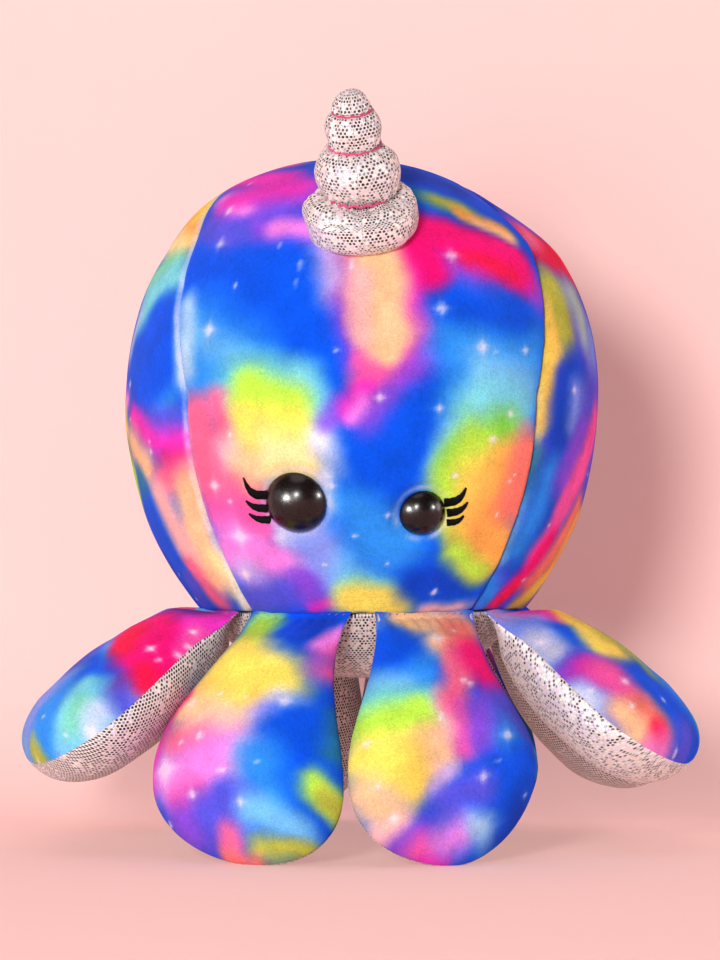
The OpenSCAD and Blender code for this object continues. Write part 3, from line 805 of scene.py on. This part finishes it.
def head_panel(name, side, strokes, to_space, stars, seed, nodes):
    """side: 0 is the front panel, -1 the left, 1 the right and 2 the back."""
    rows, cols = 230, 140
    v = np.linspace(PANEL_LOW, PANEL_HIGH, rows)[:, None]
    across = np.linspace(-1, 1, cols)[None, :]
    seam = front_seam(v)
    half = seam if side in (0, 2) else 90 - seam
    middle = {0: 0, -1: -90, 1: 90, 2: 180}[side]
    # Columns are closer together near the two seams.
    across = np.sign(across) * (1 - (1 - np.abs(across)) ** 1.35)
    azimuth = np.radians(middle + across * (half - SEAM_GAP))
    p = head_point(azimuth, v + 0 * across)
    n = head_normal(p)
    to_edge = np.minimum(np.linalg.norm(p - p[:, :1], axis=-1), np.linalg.norm(p - p[:, -1:], axis=-1))
    along = p[..., 2]
    # Far above the rim nothing is measured from it, so the height is made large there.
    up_from_rim = along - p[:1, :1, 2] + 400 * (v > 1)
    # The seam draws the cloth in, with small puckers along it; the rim turns under.
    pucker = noise(stacked(along, 0, side * 50), 5.5, 31)
    pucker = pucker * np.exp(-((to_edge / 7) ** 2)) * smooth(to_edge / 2)
    draw = 1.1 * np.exp(-((to_edge / 0.9) ** 2)) + 0.45 * np.exp(-to_edge / 5) + 0.4 * pucker
    turn_in = 3.0 * (1 - smooth(up_from_rim / 4.0)) ** 2
    gather = 0.5 * noise(stacked(np.degrees(azimuth) * 1.1, 0, 0), 4.5, 37) * np.exp(-up_from_rim / 7)
    depth = draw + turn_in + gather + socket_depth(p) - lumps(p)
    outer = p - n * depth[..., None]
    inner = leaning(outer - n * PLUSH_T)
    outer = leaning(outer)
    flat = p.reshape(-1, 3)
    colour = add_stars(paint(flat, strokes, to_space, seed), flat, stars)
    # Along the seams on the left the colour is painted paler, a painted highlight on the fuzz that the
    # light from the left catches, and along those on the right it is painted darker, as painted shade.
    line = np.exp(-((to_edge.reshape(-1) - 0.6) / 1.3) ** 2) * (0.8 + 0.5 * noise(flat, 3, 41))
    on_left = flat[:, 0] < 0
    colour = over(colour, (np.clip(0.55 * line, 0, 1) * on_left)[:, None], np.array([0.9, 0.88, 0.98]))
    colour = colour * (1 - (np.clip(0.1 * line, 0, 1) * ~on_left)[:, None])
    # The pile round each eye stands up and looks paler.
    for eye_azimuth, eye_z, eye_r in EYES.values():
        gap = np.linalg.norm(flat - at_azimuth(eye_azimuth, eye_z), axis=1) - eye_r
        ring = 0.5 * np.exp(-(((gap - 1.6) / 1.1) ** 2)) * np.clip(0.6 + 0.7 * noise(flat, 4, 43), 0, 1)
        colour = over(colour, ring[:, None], np.array([0.95, 0.9, 1.0]))
    obj = make_shell(name, outer, inner, colours=linear(colour).reshape(outer.shape))
    finished(obj, PLUSH, nodes, body="head")


def scatter(seed, count, azimuths, heights):
    """Small stars at random places on the head."""
    rng = np.random.default_rng(seed)
    stars = []
    for _ in range(count):
        centre = at_azimuth(rng.uniform(*azimuths), rng.uniform(*heights))
        stars.append(head_star(centre, rng.uniform(0.5, 1.2)))
    return stars


def left_space(azimuth, z):
    return at_azimuth(-azimuth, z)


front_stars = [head_star(on_front(x, z), size) for x, z, size in FRONT_STARS]
left_stars = [head_star(at_azimuth(-75, 187), 2.2)]
right_stars = [head_star(at_azimuth(61, 184), 2)]
left_strokes = [LEFT[0]] + random_strokes(8, 9, (104, 134), (100, 270)) + LEFT[1:]
right_strokes = [RIGHT[0]] + random_strokes(18, 9, (104, 134), (100, 270)) + RIGHT[1:]
back_strokes = [("blue", 200, 5, (180, 180))] + random_strokes(28, 22, (132, 228), (100, 272))
head_panel("front_panel", 0, FRONT, on_front, front_stars + scatter(3, 14, (-42, 42), (100, 268)),
           100, ["head_front_panel", "head_stuffing"])
head_panel("left_panel", -1, left_strokes, left_space,
           left_stars + scatter(5, 18, (-134, -48), (100, 262)), 120, ["head_left_panel"])
head_panel("right_panel", 1, right_strokes, at_azimuth,
           right_stars + scatter(6, 18, (48, 134), (100, 262)), 140, ["head_right_panel"])
head_panel("back_panel", 2, back_strokes, at_azimuth,
           scatter(7, 30, (138, 222), (100, 262)), 160, ["head_back_panel"])

# ---------------------------------------------------------------- the silver panel under the head

base_rows, base_cols = 70, 240
base_radius = SEAM_R - 1.2
base_sag = 26
r = np.linspace(0.4, base_radius, base_rows)[:, None]
theta = np.linspace(0, 2 * math.pi, base_cols, endpoint=False)[None, :]
lower = stacked(r * np.sin(theta), -r * np.cos(theta), SEAM_Z - base_sag * (1 - (r / base_radius) ** 4))
ripple = 0.8 * noise(stacked(np.degrees(theta + 0 * r) / 6, 0, 0), 1.0, 51) * np.exp(-(base_radius - r) / 9)
lower[..., 2] += ripple + 0.7 * noise(lower, 16, 53)
reach = distance_along(lower, 0)
# The third value darkens the foil dots a little, as painted shade under the head.
cloth = stacked(np.sin(theta) * reach, -np.cos(theta) * reach, -0.1)
base = make_shell("base_foil", lower, lower + np.array([0, 0, FOIL_T]), wrap=True, cloth=cloth)
finished(base, FOIL, ["base_panel"], body="head")

# ---------------------------------------------------------------- the arms

# The droop, in degrees, and the length of the arms that reach the table
STANDING, STANDING_LEN = 65, 104
# bow and lean are how far an arm curves and slants to the right, and slant is how much shorter
# its right edge is at the tip. mirror is 1, or -1 where the print is mirrored. foil is painted light on
# the foil dots, how much brighter they are, or where it is below 0, painted shade, how much darker.
Arm = namedtuple("Arm", "azimuth droop length bow lean slant print mirror foil")
ARMS = {
    "front_left": Arm(-22.5, STANDING, STANDING_LEN, -11, 0, 0, "A", 1, -0.35),
    "front_right": Arm(22.5, STANDING, STANDING_LEN, 0, -6, 12, "B", 1, -0.35),
    "mid_left": Arm(-67.5, 37.8, 95.8, 0, 0, 0, "C", 1, -0.3),
    "mid_right": Arm(67.5, 38.2, 94.8, 0, 0, 0, "D", 1, 0.16),
    "aft_left": Arm(-112.5, 40, 97, 0, 0, 0, "D", -1, -0.35),
    "aft_right": Arm(112.5, 46.5, 97, 0, 0, 0, "C", -1, -0.35),
    "back_left": Arm(-157.5, STANDING, STANDING_LEN, 1.4, 0, 0, "B", -1, -0.35),
    "back_right": Arm(157.5, STANDING, STANDING_LEN, -1.4, 0, 0, "A", -1, -0.35),
}
PRINTS = {"A": ARM_A, "B": ARM_B, "C": ARM_C, "D": ARM_D}
ROOT_HALF_W, ARM_HALF_W, ARM_HALF_T = 20.5, 40.5, 18.5
# Where along an arm it is widest and thickest, from 0 at the seam to 1 at the tip
WIDEST, THICKEST = 0.68, 0.55
# What is added to half of the width at the root of the front arms, and of the other ones
FRONT_ROOT_EXTRA, ROOT_EXTRA = 0.6, 3.8
# How much deeper the undersides of the arms that hang free are
FREE_EXTRA = 5.0
# Standing arms rest this far above the table.
TABLE_GAP = 0.05
# The covers start above the seam, tucked behind the head's rim.
ARM_START = -0.022


def arm_half_width(f, root):
    """Half of an arm's width at f along it."""
    swell = root + (ARM_HALF_W - root) * (1 - np.cos(np.pi * np.minimum(f, WIDEST) / WIDEST)) / 2
    end = np.clip((f - WIDEST) / (1 - WIDEST), 0, 1)
    return np.where(f < WIDEST, swell, ARM_HALF_W * np.sqrt(1 - end**2.2))


def arm_half_thickness(f, droop, side):
    """How far the top, or the underside, bulges from an arm's middle surface."""
    deep = side < 0 and droop != STANDING
    full = ARM_HALF_T + (FREE_EXTRA if deep else 0)
    wedge = (1.15 if deep else 0.86) * f * STANDING_LEN
    near = np.minimum(full * np.sqrt(np.clip(1 - ((f - THICKEST) / THICKEST) ** 2, 0, 1)), wedge)
    near = np.maximum(near, 1.2)
    end = np.clip((f - THICKEST) / (1 - THICKEST), 0, 1)
    return np.where(f < THICKEST, near, full * np.sqrt(1 - end ** (2.3 if droop == STANDING else 2.9)))


def arm_point(arm, f, u, t):
    """Points of an arm: f along it, u to the right and t above its middle surface."""
    a, d = math.radians(arm.azimuth), math.radians(arm.droop)
    across = u + arm.bow * np.sin(np.pi * f) + arm.lean * f
    slant = arm.slant * (np.maximum(u, 0) / 40) ** 1.5 * smooth((f - 0.4) / 0.5)
    along = f * arm.length - slant
    out = along * math.cos(d) + t * math.sin(d)
    up = -along * math.sin(d) + t * math.cos(d)
    # Standing arms end at the table: what would lie lower is drawn back along the arm to its level.
    sunk = SEAM_Z + up - TABLE_GAP
    slide = np.where((arm.droop == STANDING) & (sunk < 0), sunk / math.sin(d), 0)
    r = SEAM_R + out + slide * math.cos(d)
    x, y = across * math.cos(a) + r * math.sin(a), across * math.sin(a) - r * math.cos(a)
    return stacked(x, y, SEAM_Z + up - slide * math.sin(d))


def arm_cover(arm, side, thickness, seam_turn, seed):
    """One half of an arm's cover: its outer and inner points, and their places across and along.

    side is 1 for the printed top and -1 for the foil underside. seam_turn is how far the edge
    seam is turned round from the middle surface.
    """
    rows, cols = 120, 72
    f = ARM_START + (1.0 - ARM_START) * (1 - np.cos(np.pi * np.linspace(0, 1, rows))) / 2
    f = np.minimum(f, 0.99999)[:, None]
    turn = seam_turn * smooth(f / 0.25) * side
    q = np.linspace(0, 1, cols)[None, :]
    a = turn + (np.pi - 2 * turn) * q
    root = ROOT_HALF_W + (FRONT_ROOT_EXTRA if abs(arm.azimuth) < 30 else ROOT_EXTRA)
    w, h = arm_half_width(f, root), arm_half_thickness(f, arm.droop, side)
    sine = np.sin(a)
    shape = np.sign(sine) * np.abs(sine) ** 1.2
    u = -w * np.cos(a)
    t = side * (0.1 + h * shape)
    s = f * arm.length
    # Gathers at the seam by the head, small puckers along the edge seam, and uneven filling
    edge = np.minimum(q, 1 - q) * np.pi * np.sqrt(w * h + 1)
    flat = stacked(u, s, seed * 9)
    gather = 0.9 * np.cos(u * 1.25 + seed) * np.exp(-s / 7) * smooth(s / 3) * np.sin(np.pi * q)
    pucker = 0.55 * noise(stacked(s, np.sign(u) * 30, 0), 5, seed)
    pucker = pucker * np.exp(-((edge / 7) ** 2)) * smooth(edge / 2)
    lump = 0.9 * noise(flat, 24, seed + 1) + 0.4 * noise(flat, 11, seed + 2)
    lump = lump * np.clip(h / 8, 0, 1) * smooth(edge / 8)
    t = t + side * (gather + pucker + lump)
    u = u + 0 * s
    outer = arm_point(arm, f + 0 * u, u, t)
    shrink_w = np.maximum(w - thickness, 0.3 * w) / w
    shrink_h = np.maximum(h - thickness, 0.3 * h) / np.maximum(h, 1e-6)
    inner = arm_point(arm, f + 0 * u, u * shrink_w, t * shrink_h)
    return outer, inner, u, s + 0 * u


for name, arm in ARMS.items():
    seed = 200 + 10 * list(ARMS).index(name)
    azimuth, droop = math.radians(arm.azimuth), math.radians(arm.droop)
    seam_turn = math.radians(-12 if arm.droop == STANDING else 11)
    outer, inner, u, s = arm_cover(arm, 1, PLUSH_T, seam_turn, seed)
    across = stacked(u * arm.mirror, s, 0).reshape(-1, 3)
    colour = paint(across, PRINTS[arm.print], lambda x, y: np.array([x, y, 0.0]), seed + 3)
    stars = [arm_star(*star) for star in ARM_STARS[arm.print]]
    rng = np.random.default_rng(seed)
    stars += [arm_star(rng.uniform(-36, 36), rng.uniform(8, 98), rng.uniform(0.7, 1.4)) for _ in range(7)]
    colour = add_stars(colour, across, stars)
    top = make_shell(name + "_arm_plush", outer, inner, colours=linear(colour).reshape(outer.shape))
    nodes = [name + "_arm_top", name + "_arm_stuffing"]
    finished(top, PLUSH, nodes)
    outer, inner, *_ = arm_cover(arm, -1, FOIL_T, seam_turn, seed + 5)
    # The dots are laid out by the distance over the cloth, across it and along it.
    width, reach = distance_along(outer, 1), distance_along(outer, 0)
    # The third value is this arm's painted light, or painted shade, on its foil dots.
    cloth = stacked(width - width[:, -1:] / 2, reach, arm.foil)
    under = make_shell(name + "_arm_foil", outer, inner, cloth=cloth)
    finished(under, FOIL, [name + "_arm_underside"])
    for cover in (top, under):
        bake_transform(cover)

# ---------------------------------------------------------------- the horn

# The horn's own frame stands here on the head, leans forward and tilts a little to one side.
HORN_AT = np.array([0, -73.5, 249])
lean, tilt = math.radians(25), math.radians(-5.4)
lean_turn = np.array([[1, 0, 0], [0, math.cos(lean), -math.sin(lean)], [0, math.sin(lean), math.cos(lean)]])
tilt_turn = np.array([[math.cos(tilt), 0, math.sin(tilt)], [0, 1, 0], [-math.sin(tilt), 0, math.cos(tilt)]])
HORN_TURN = tilt_turn @ lean_turn


def horn_point(r, theta, h):
    """Points at a radius, an angle and a height in the horn's own frame."""
    return stacked(r * np.cos(theta), r * np.sin(theta), h) @ HORN_TURN.T + HORN_AT


# Where along the horn the threads pinch it, and how thick it is there
WAISTS, WAIST_R = (11.7, 32.3, 46.6), (12.7, 9.6, 7.2)


def gathers(k):
    """How many folds of cloth the thread of waist k holds."""
    return 17 - 3 * k


def pleats(theta, h, seed):
    """How far the gathers by each thread push the cloth in and out."""
    total = 0
    for k, waist in enumerate(WAISTS):
        waves = np.cos(gathers(k) * theta + 2.2 * np.sin(3 * theta + k) + seed)
        off = np.abs(h - waist)
        total = total + 0.75 * waves * np.exp(-off / 3.2) * smooth(off / 1.5)
    return total


def horn_piece(name, profile, seed, lobes, front_sag=0.0):
    """A cover of the horn, from its (radius, height) line.

    lobes is (height, radius) pairs for the width of the cloth, and front_sag is how far the
    front of a fat ring sinks.
    """
    theta = np.linspace(0, 2 * math.pi, 200, endpoint=False)[None, :]
    profile = np.array(profile)
    r, h = profile[:, :1], profile[:, 1:]
    ring = stacked(np.cos(theta) * 12, np.sin(theta) * 12, h)
    bulk = np.clip((r - 6) / 8, 0, 1)
    push = pleats(theta, h, seed)
    push = push + (noise(ring, 11, seed) + 0.45 * noise(ring, 5, seed + 1)) * (0.35 + bulk)
    slope = np.gradient(profile, axis=0)
    slope = slope / np.linalg.norm(slope, axis=1, keepdims=True)
    normal_r, normal_h = slope[:, 1:], -slope[:, :1]

    def grid(offset):
        rr, hh = np.maximum(r + normal_r * offset, 0.03), h + normal_h * offset
        sag = front_sag * (0.5 - 0.5 * np.sin(theta)) * smooth((rr - 10.5) / 5) * smooth((hh - 4) / 8)
        return horn_point(rr, theta, hh - sag)

    push = push * np.clip(r / 4, 0, 1)
    length = distance_along(profile, 0)[:, None]
    # Each lobe's cloth is as wide as the lobe, so that the dots stay round.
    girth = np.interp(h[:, 0], *zip(*lobes))[:, None]
    turned = (theta + math.pi / 2) % (2 * math.pi) - math.pi
    # The third value is painted shade on the foil dots, darker toward the tip.
    cloth = stacked(turned * girth, length, -0.02 - 0.22 * smooth((h - 25) / 15))
    return make_shell(name, grid(push), grid(push - FOIL_T), wrap=True, cloth=cloth)


def arc(points, count):
    """A smooth line through points, as a Catmull-Rom curve, with count steps from each to the next."""
    p = np.array(points, float)
    p = np.concatenate([[2 * p[0] - p[1]], p, [2 * p[-1] - p[-2]]])
    out = []
    for a, b, c, d in zip(p, p[1:], p[2:], p[3:]):
        for t in np.linspace(0, 1, count, endpoint=False):
            square, cube = 2 * a - 5 * b + 4 * c - d, 3 * b - a - 3 * c + d
            out.append(0.5 * (2 * b + (c - a) * t + square * t * t + cube * t**3))
    out.append(p[-2])
    return out


base_profile = arc([(13, -8.5), (17.5, -7), (21.2, -3.6), (22.6, 2), (22.2, 8), (19.8, 12.4),
                    (16.4, 14), (13.4, 13), (12.2, 11.7)], 12)
horn_base = horn_piece("horn_base", base_profile, 61, [(0, 22), (1, 22)], front_sag=4.0)
finished(horn_base, FOIL, ["horn_base_cover", "horn_base_stuffing"])
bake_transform(horn_base)

cone_profile = arc([(11.2, 8.6), (12.5, 11.7), (14.2, 13.6), (15.8, 17.6), (16.4, 22.5), (15.3, 27.6),
                    (12.2, 31.0), (9.5, 32.3), (10.4, 33.8), (11.3, 37.5), (11.2, 41.5),
                    (9.4, 45.2), (7.1, 46.6), (7.7, 47.8), (7.2, 49.8), (5.7, 52.4), (3.5, 54.4),
                    (1.3, 55.3), (0.1, 55.4)], 9)
cone_lobes = [(32.2, 15), (32.4, 11), (46.5, 11), (46.7, 7.5)]
horn_cone = horn_piece("horn_cone", cone_profile, 71, cone_lobes)
finished(horn_cone, FOIL, ["horn_cover", "horn_stuffing"], body="horn")


def tube(path, radius, closed, sides=8):
    """Points and faces of a round thread along a path."""
    path = np.asarray(path, float)
    ahead = np.roll(path, -1, 0) - np.roll(path, 1, 0) if closed else np.gradient(path, axis=0)
    ahead /= np.linalg.norm(ahead, axis=1, keepdims=True)
    side = np.cross(ahead, [0.31, 0.17, 0.93])
    side /= np.linalg.norm(side, axis=1, keepdims=True)
    other = np.cross(ahead, side)
    phi = np.arange(sides) * 2 * math.pi / sides
    cosine, sine = np.cos(phi)[None, :, None], np.sin(phi)[None, :, None]
    ring = path[:, None] + radius * (cosine * side[:, None] + sine * other[:, None])
    end = (len(path) - 1) * sides
    faces = [faces_of_grid(len(path), sides, True)]
    if closed:
        first = np.arange(sides)
        last = first + end
        faces.append(np.stack([last, np.roll(last, -1), np.roll(first, -1), first], -1))
    else:
        faces += [cap_faces(0, sides, False), cap_faces(end, sides, True)]
    return ring.reshape(-1, 3), np.concatenate(faces)


def joined(name, parts):
    """One mesh from several closed tubes."""
    points, faces, n = [], [], 0
    for p, f in parts:
        points.append(p)
        faces.append(f + n)
        n += len(p)
    return make_mesh(name, np.concatenate(points), np.concatenate(faces))


threads = []
theta = np.linspace(0, 2 * math.pi, 260, endpoint=False)
for k, (waist, waist_r) in enumerate(zip(WAISTS, WAIST_R)):
    for ply in (0, 1):
        twist = 26 * theta + ply * math.pi
        rr = waist_r + 0.35 + 0.22 * np.cos(twist)
        hh = waist + 0.25 * np.sin(2 * theta + k) + 0.35 * np.sin(gathers(k) * theta) + 0.22 * np.sin(twist)
        threads.append(tube(horn_point(rr, theta, hh), 0.33, True))
horn_threads = joined("horn_thread_rings", threads)
finished(horn_threads, PINK_THREAD, ["horn_threads"], body="horn")

# ---------------------------------------------------------------- the face

# The eyes' shank, which goes through the cloth
SHANK_R, SHANK_END = 2.4, -12.9

for side, (azimuth, z, radius) in EYES.items():
    centre = at_azimuth(azimuth, z)
    # The dome is part of a ball, and its rim is rounded over a flat back.
    rise = 0.62 * radius
    ball = (radius**2 + rise**2) / (2 * rise)
    rim_angle = math.asin(radius * 0.985 / ball)
    angles = np.linspace(rim_angle, 0, 40)
    dome = [(ball * math.sin(x), -0.3 + rise - ball + ball * math.cos(x)) for x in angles]
    shank = [(0, SHANK_END), (SHANK_R - 0.1, SHANK_END), (SHANK_R, SHANK_END + 0.2), (SHANK_R, -0.95)]
    back = [(SHANK_R + 0.2, -0.9), (radius * 0.97, -0.9), (radius, -0.75), (radius, -0.45)]
    eye = make_lathe(side + "_eye_dome", shank + back + dome, centre, directions(centre))
    finished(eye, EYE, [side + "_eye"], body="head")
    # The washers keep the CAD's shape.
    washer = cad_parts[side + "_eye_washer"]
    washer.data.materials.clear()
    washer.data.materials.append(WASHER)

# Each lash: where it starts, its bend and its point, across and up, and half its width
LASHES = {
    "left": [
        [(-36.8, 142.2), (-42.8, 141.2), (-46.0, 149.0), 1.8],
        [(-36.9, 136.7), (-41.5, 137.2), (-44.8, 140.2), 1.45],
        [(-36.0, 132.5), (-40.0, 132.7), (-43.6, 135.2), 1.3],
    ],
    "right": [
        [(32.2, 139.3), (37.4, 140.2), (40.0, 145.2), 1.65],
        [(33.2, 135.4), (37.8, 136.5), (40.4, 139.8), 1.4],
        [(33.0, 131.8), (36.6, 132.3), (38.7, 134.8), 1.1],
    ],
}
for side, curves in LASHES.items():
    parts = []
    for curve in curves:
        p = np.array(curve[:3], float)
        count = 26
        for k in range(count):
            t = k / (count - 1)
            c = (1 - t) ** 2 * p[0] + 2 * t * (1 - t) * p[1] + t * t * p[2]
            d = (1 - t) * (p[1] - p[0]) + t * (p[2] - p[1])
            d = d / np.linalg.norm(d)
            across = np.array([-d[1], d[0]]) + 0.15 * d
            half = (0.25 + (curve[3] - 0.25) * (1 - t**1.8)) * (1 + 0.05 * math.sin(7.3 * k))
            # Each stitch crosses the lash and stands a little higher in its middle.
            places = [(c + across * half * x, 0.12 + 0.32 * (1 - x * x)) for x in np.linspace(-1, 1, 7)]
            stitch = [over_face(*place, lift) for place, lift in places]
            parts.append(tube(stitch, 0.3, False, 6))
    lashes = joined(side + "_lash_stitches", parts)
    finished(lashes, LASH, [side + "_lashes"], body="head")

# ---------------------------------------------------------------- the stitches that hold the arms

# They run up from each arm's root and in behind the rim of the head's cover.
top_z = RIM_Z - 0.6
radius = float(head_radius(top_z)) - 1.6
parts = []
for arm in ARMS.values():
    a = math.radians(arm.azimuth)
    for u in np.linspace(-18.5, 18.5, 13):
        low = arm_point(arm, np.array(-0.004), np.array(u), np.array(0.8))
        mid = arm_point(arm, np.array(-0.009), np.array(u + 0.6), np.array(0.9))
        x = (u + 1.2) * math.cos(a) + radius * math.sin(a)
        y = (u + 1.2) * math.sin(a) - radius * math.cos(a)
        parts.append(tube(arc([low, mid, np.array([x, y, top_z])], 5), 0.2, False, 6))
stitches = joined("arm_whip_stitches", parts)
finished(stitches, SEAM_THREAD, ["arm_root_stitches"], body="head")

# ---------------------------------------------------------------- backdrop and lights


def backdrop_material():
    m = Nodes("backdrop")
    coordinate = m.coordinate()
    cloud = m.noise(coordinate, 2.5, 2, 0.4)
    # The floor glows a little, which keeps the shadow on it pale.
    floor = m.span(m.split(coordinate)[2], 0.0, 0.09, 1, 0)
    paint = m.mix(m.level(cloud, 0, 1), srgb(253, 211, 205), srgb(255, 218, 212))
    m.set(Base_Color=m.mix(floor, paint, srgb(203, 168, 163)))
    m.set(Emission_Color=m.mix(floor, (0, 0, 0, 1), srgb(172, 138, 134)), Emission_Strength=1.0)
    m.set(Roughness=m.level(m.noise(coordinate, 60, 3, 0.6), 0.8, 0.95), Specular_IOR_Level=0.1)
    # The wall is clear from behind, so that it doesn't hide the object's back.
    behind, clear = m.new("NewGeometry").outputs["Backfacing"], m.new("BsdfTransparent").outputs[0]
    mixed = m.new("MixShader", (behind, m.shader.outputs[0], clear))
    m.link(mixed.outputs[0], m.tree.nodes["Material Output"].inputs[0])
    return m.material


# A floor and a wall in metres, with a round cove between them
wall_y, cove = 0.2, 0.095
section = [(-2.6, 0.0), (wall_y - cove, 0.0)]
for x in np.linspace(0.05, math.pi / 2, 24):
    section.append((wall_y - cove + cove * math.sin(x), cove - cove * math.cos(x)))
section.append((wall_y, 2.4))
half_width = 2.5
vertices = [(x, y, z) for x in (-half_width, half_width) for y, z in section]
count = len(section)
me = bpy.data.meshes.new("backdrop")
me.from_pydata(vertices, [], [(k + count, k + 1 + count, k + 1, k) for k in range(count - 1)])
me.update()
for polygon in me.polygons:
    polygon.use_smooth = True
backdrop = bpy.data.objects.new("backdrop", me)
bpy.context.scene.collection.objects.link(backdrop)
me.materials.append(backdrop_material())
backdrop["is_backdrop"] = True


def area_light(name, at, aim, size, power, colour, gloss_only=False):
    """A round light. With gloss_only, it is seen in glossy reflections and lights nothing else."""
    data = bpy.data.lights.new(name, "AREA")
    data.shape = "DISK"
    data.size = size
    data.energy = power
    data.color = colour
    lamp = bpy.data.objects.new(name, data)
    lamp.location = at
    lamp.rotation_euler = (Vector(aim) - Vector(at)).to_track_quat("-Z", "Y").to_euler()
    bpy.context.scene.collection.objects.link(lamp)
    lamp.visible_diffuse = not gloss_only


area_light("key", (-0.42, -1.87, 0.5), (0, 0, 0.15), 0.4, 26.5, (1.0, 0.98, 0.96))
area_light("top", (-0.15, -0.45, 1.4), (0, 0, 0.0), 1.0, 3.4, (1.0, 0.96, 0.95))
area_light("right_fill", (1.2, 0.0, 0.3), (0, 0, 0.15), 0.5, 3.6, (1.0, 0.94, 0.94))
area_light("left_fill", (-1.3, -0.35, 0.25), (0, 0, 0.15), 0.8, 2, (1.0, 0.94, 0.94))
area_light("low_fill", (-0.5, -1.4, 0.05), (0, 0, 0.1), 0.5, 4, (1.0, 0.97, 0.96))
area_light("eye_glint", (-0.9, -0.95, 0.1), (0, -0.09, 0.14), 0.5, 38, (1.0, 0.97, 0.96), gloss_only=True)
area_light("side_glint", (1.1, -0.6, 0.3), (0, -0.09, 0.14), 0.16, 9, (1.0, 0.97, 0.96), gloss_only=True)

world = bpy.data.worlds.new("world")
bpy.context.scene.world = world
world.use_nodes = True
world.node_tree.nodes["Background"].inputs[0].default_value = (1.0, 0.7, 0.74, 1)
world.node_tree.nodes["Background"].inputs[1].default_value = 0.1
bpy.context.scene.view_settings.view_transform = "Standard"
bpy.context.scene.view_settings.look = "None"

# ---------------------------------------------------------------- sizes, and the end

low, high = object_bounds()
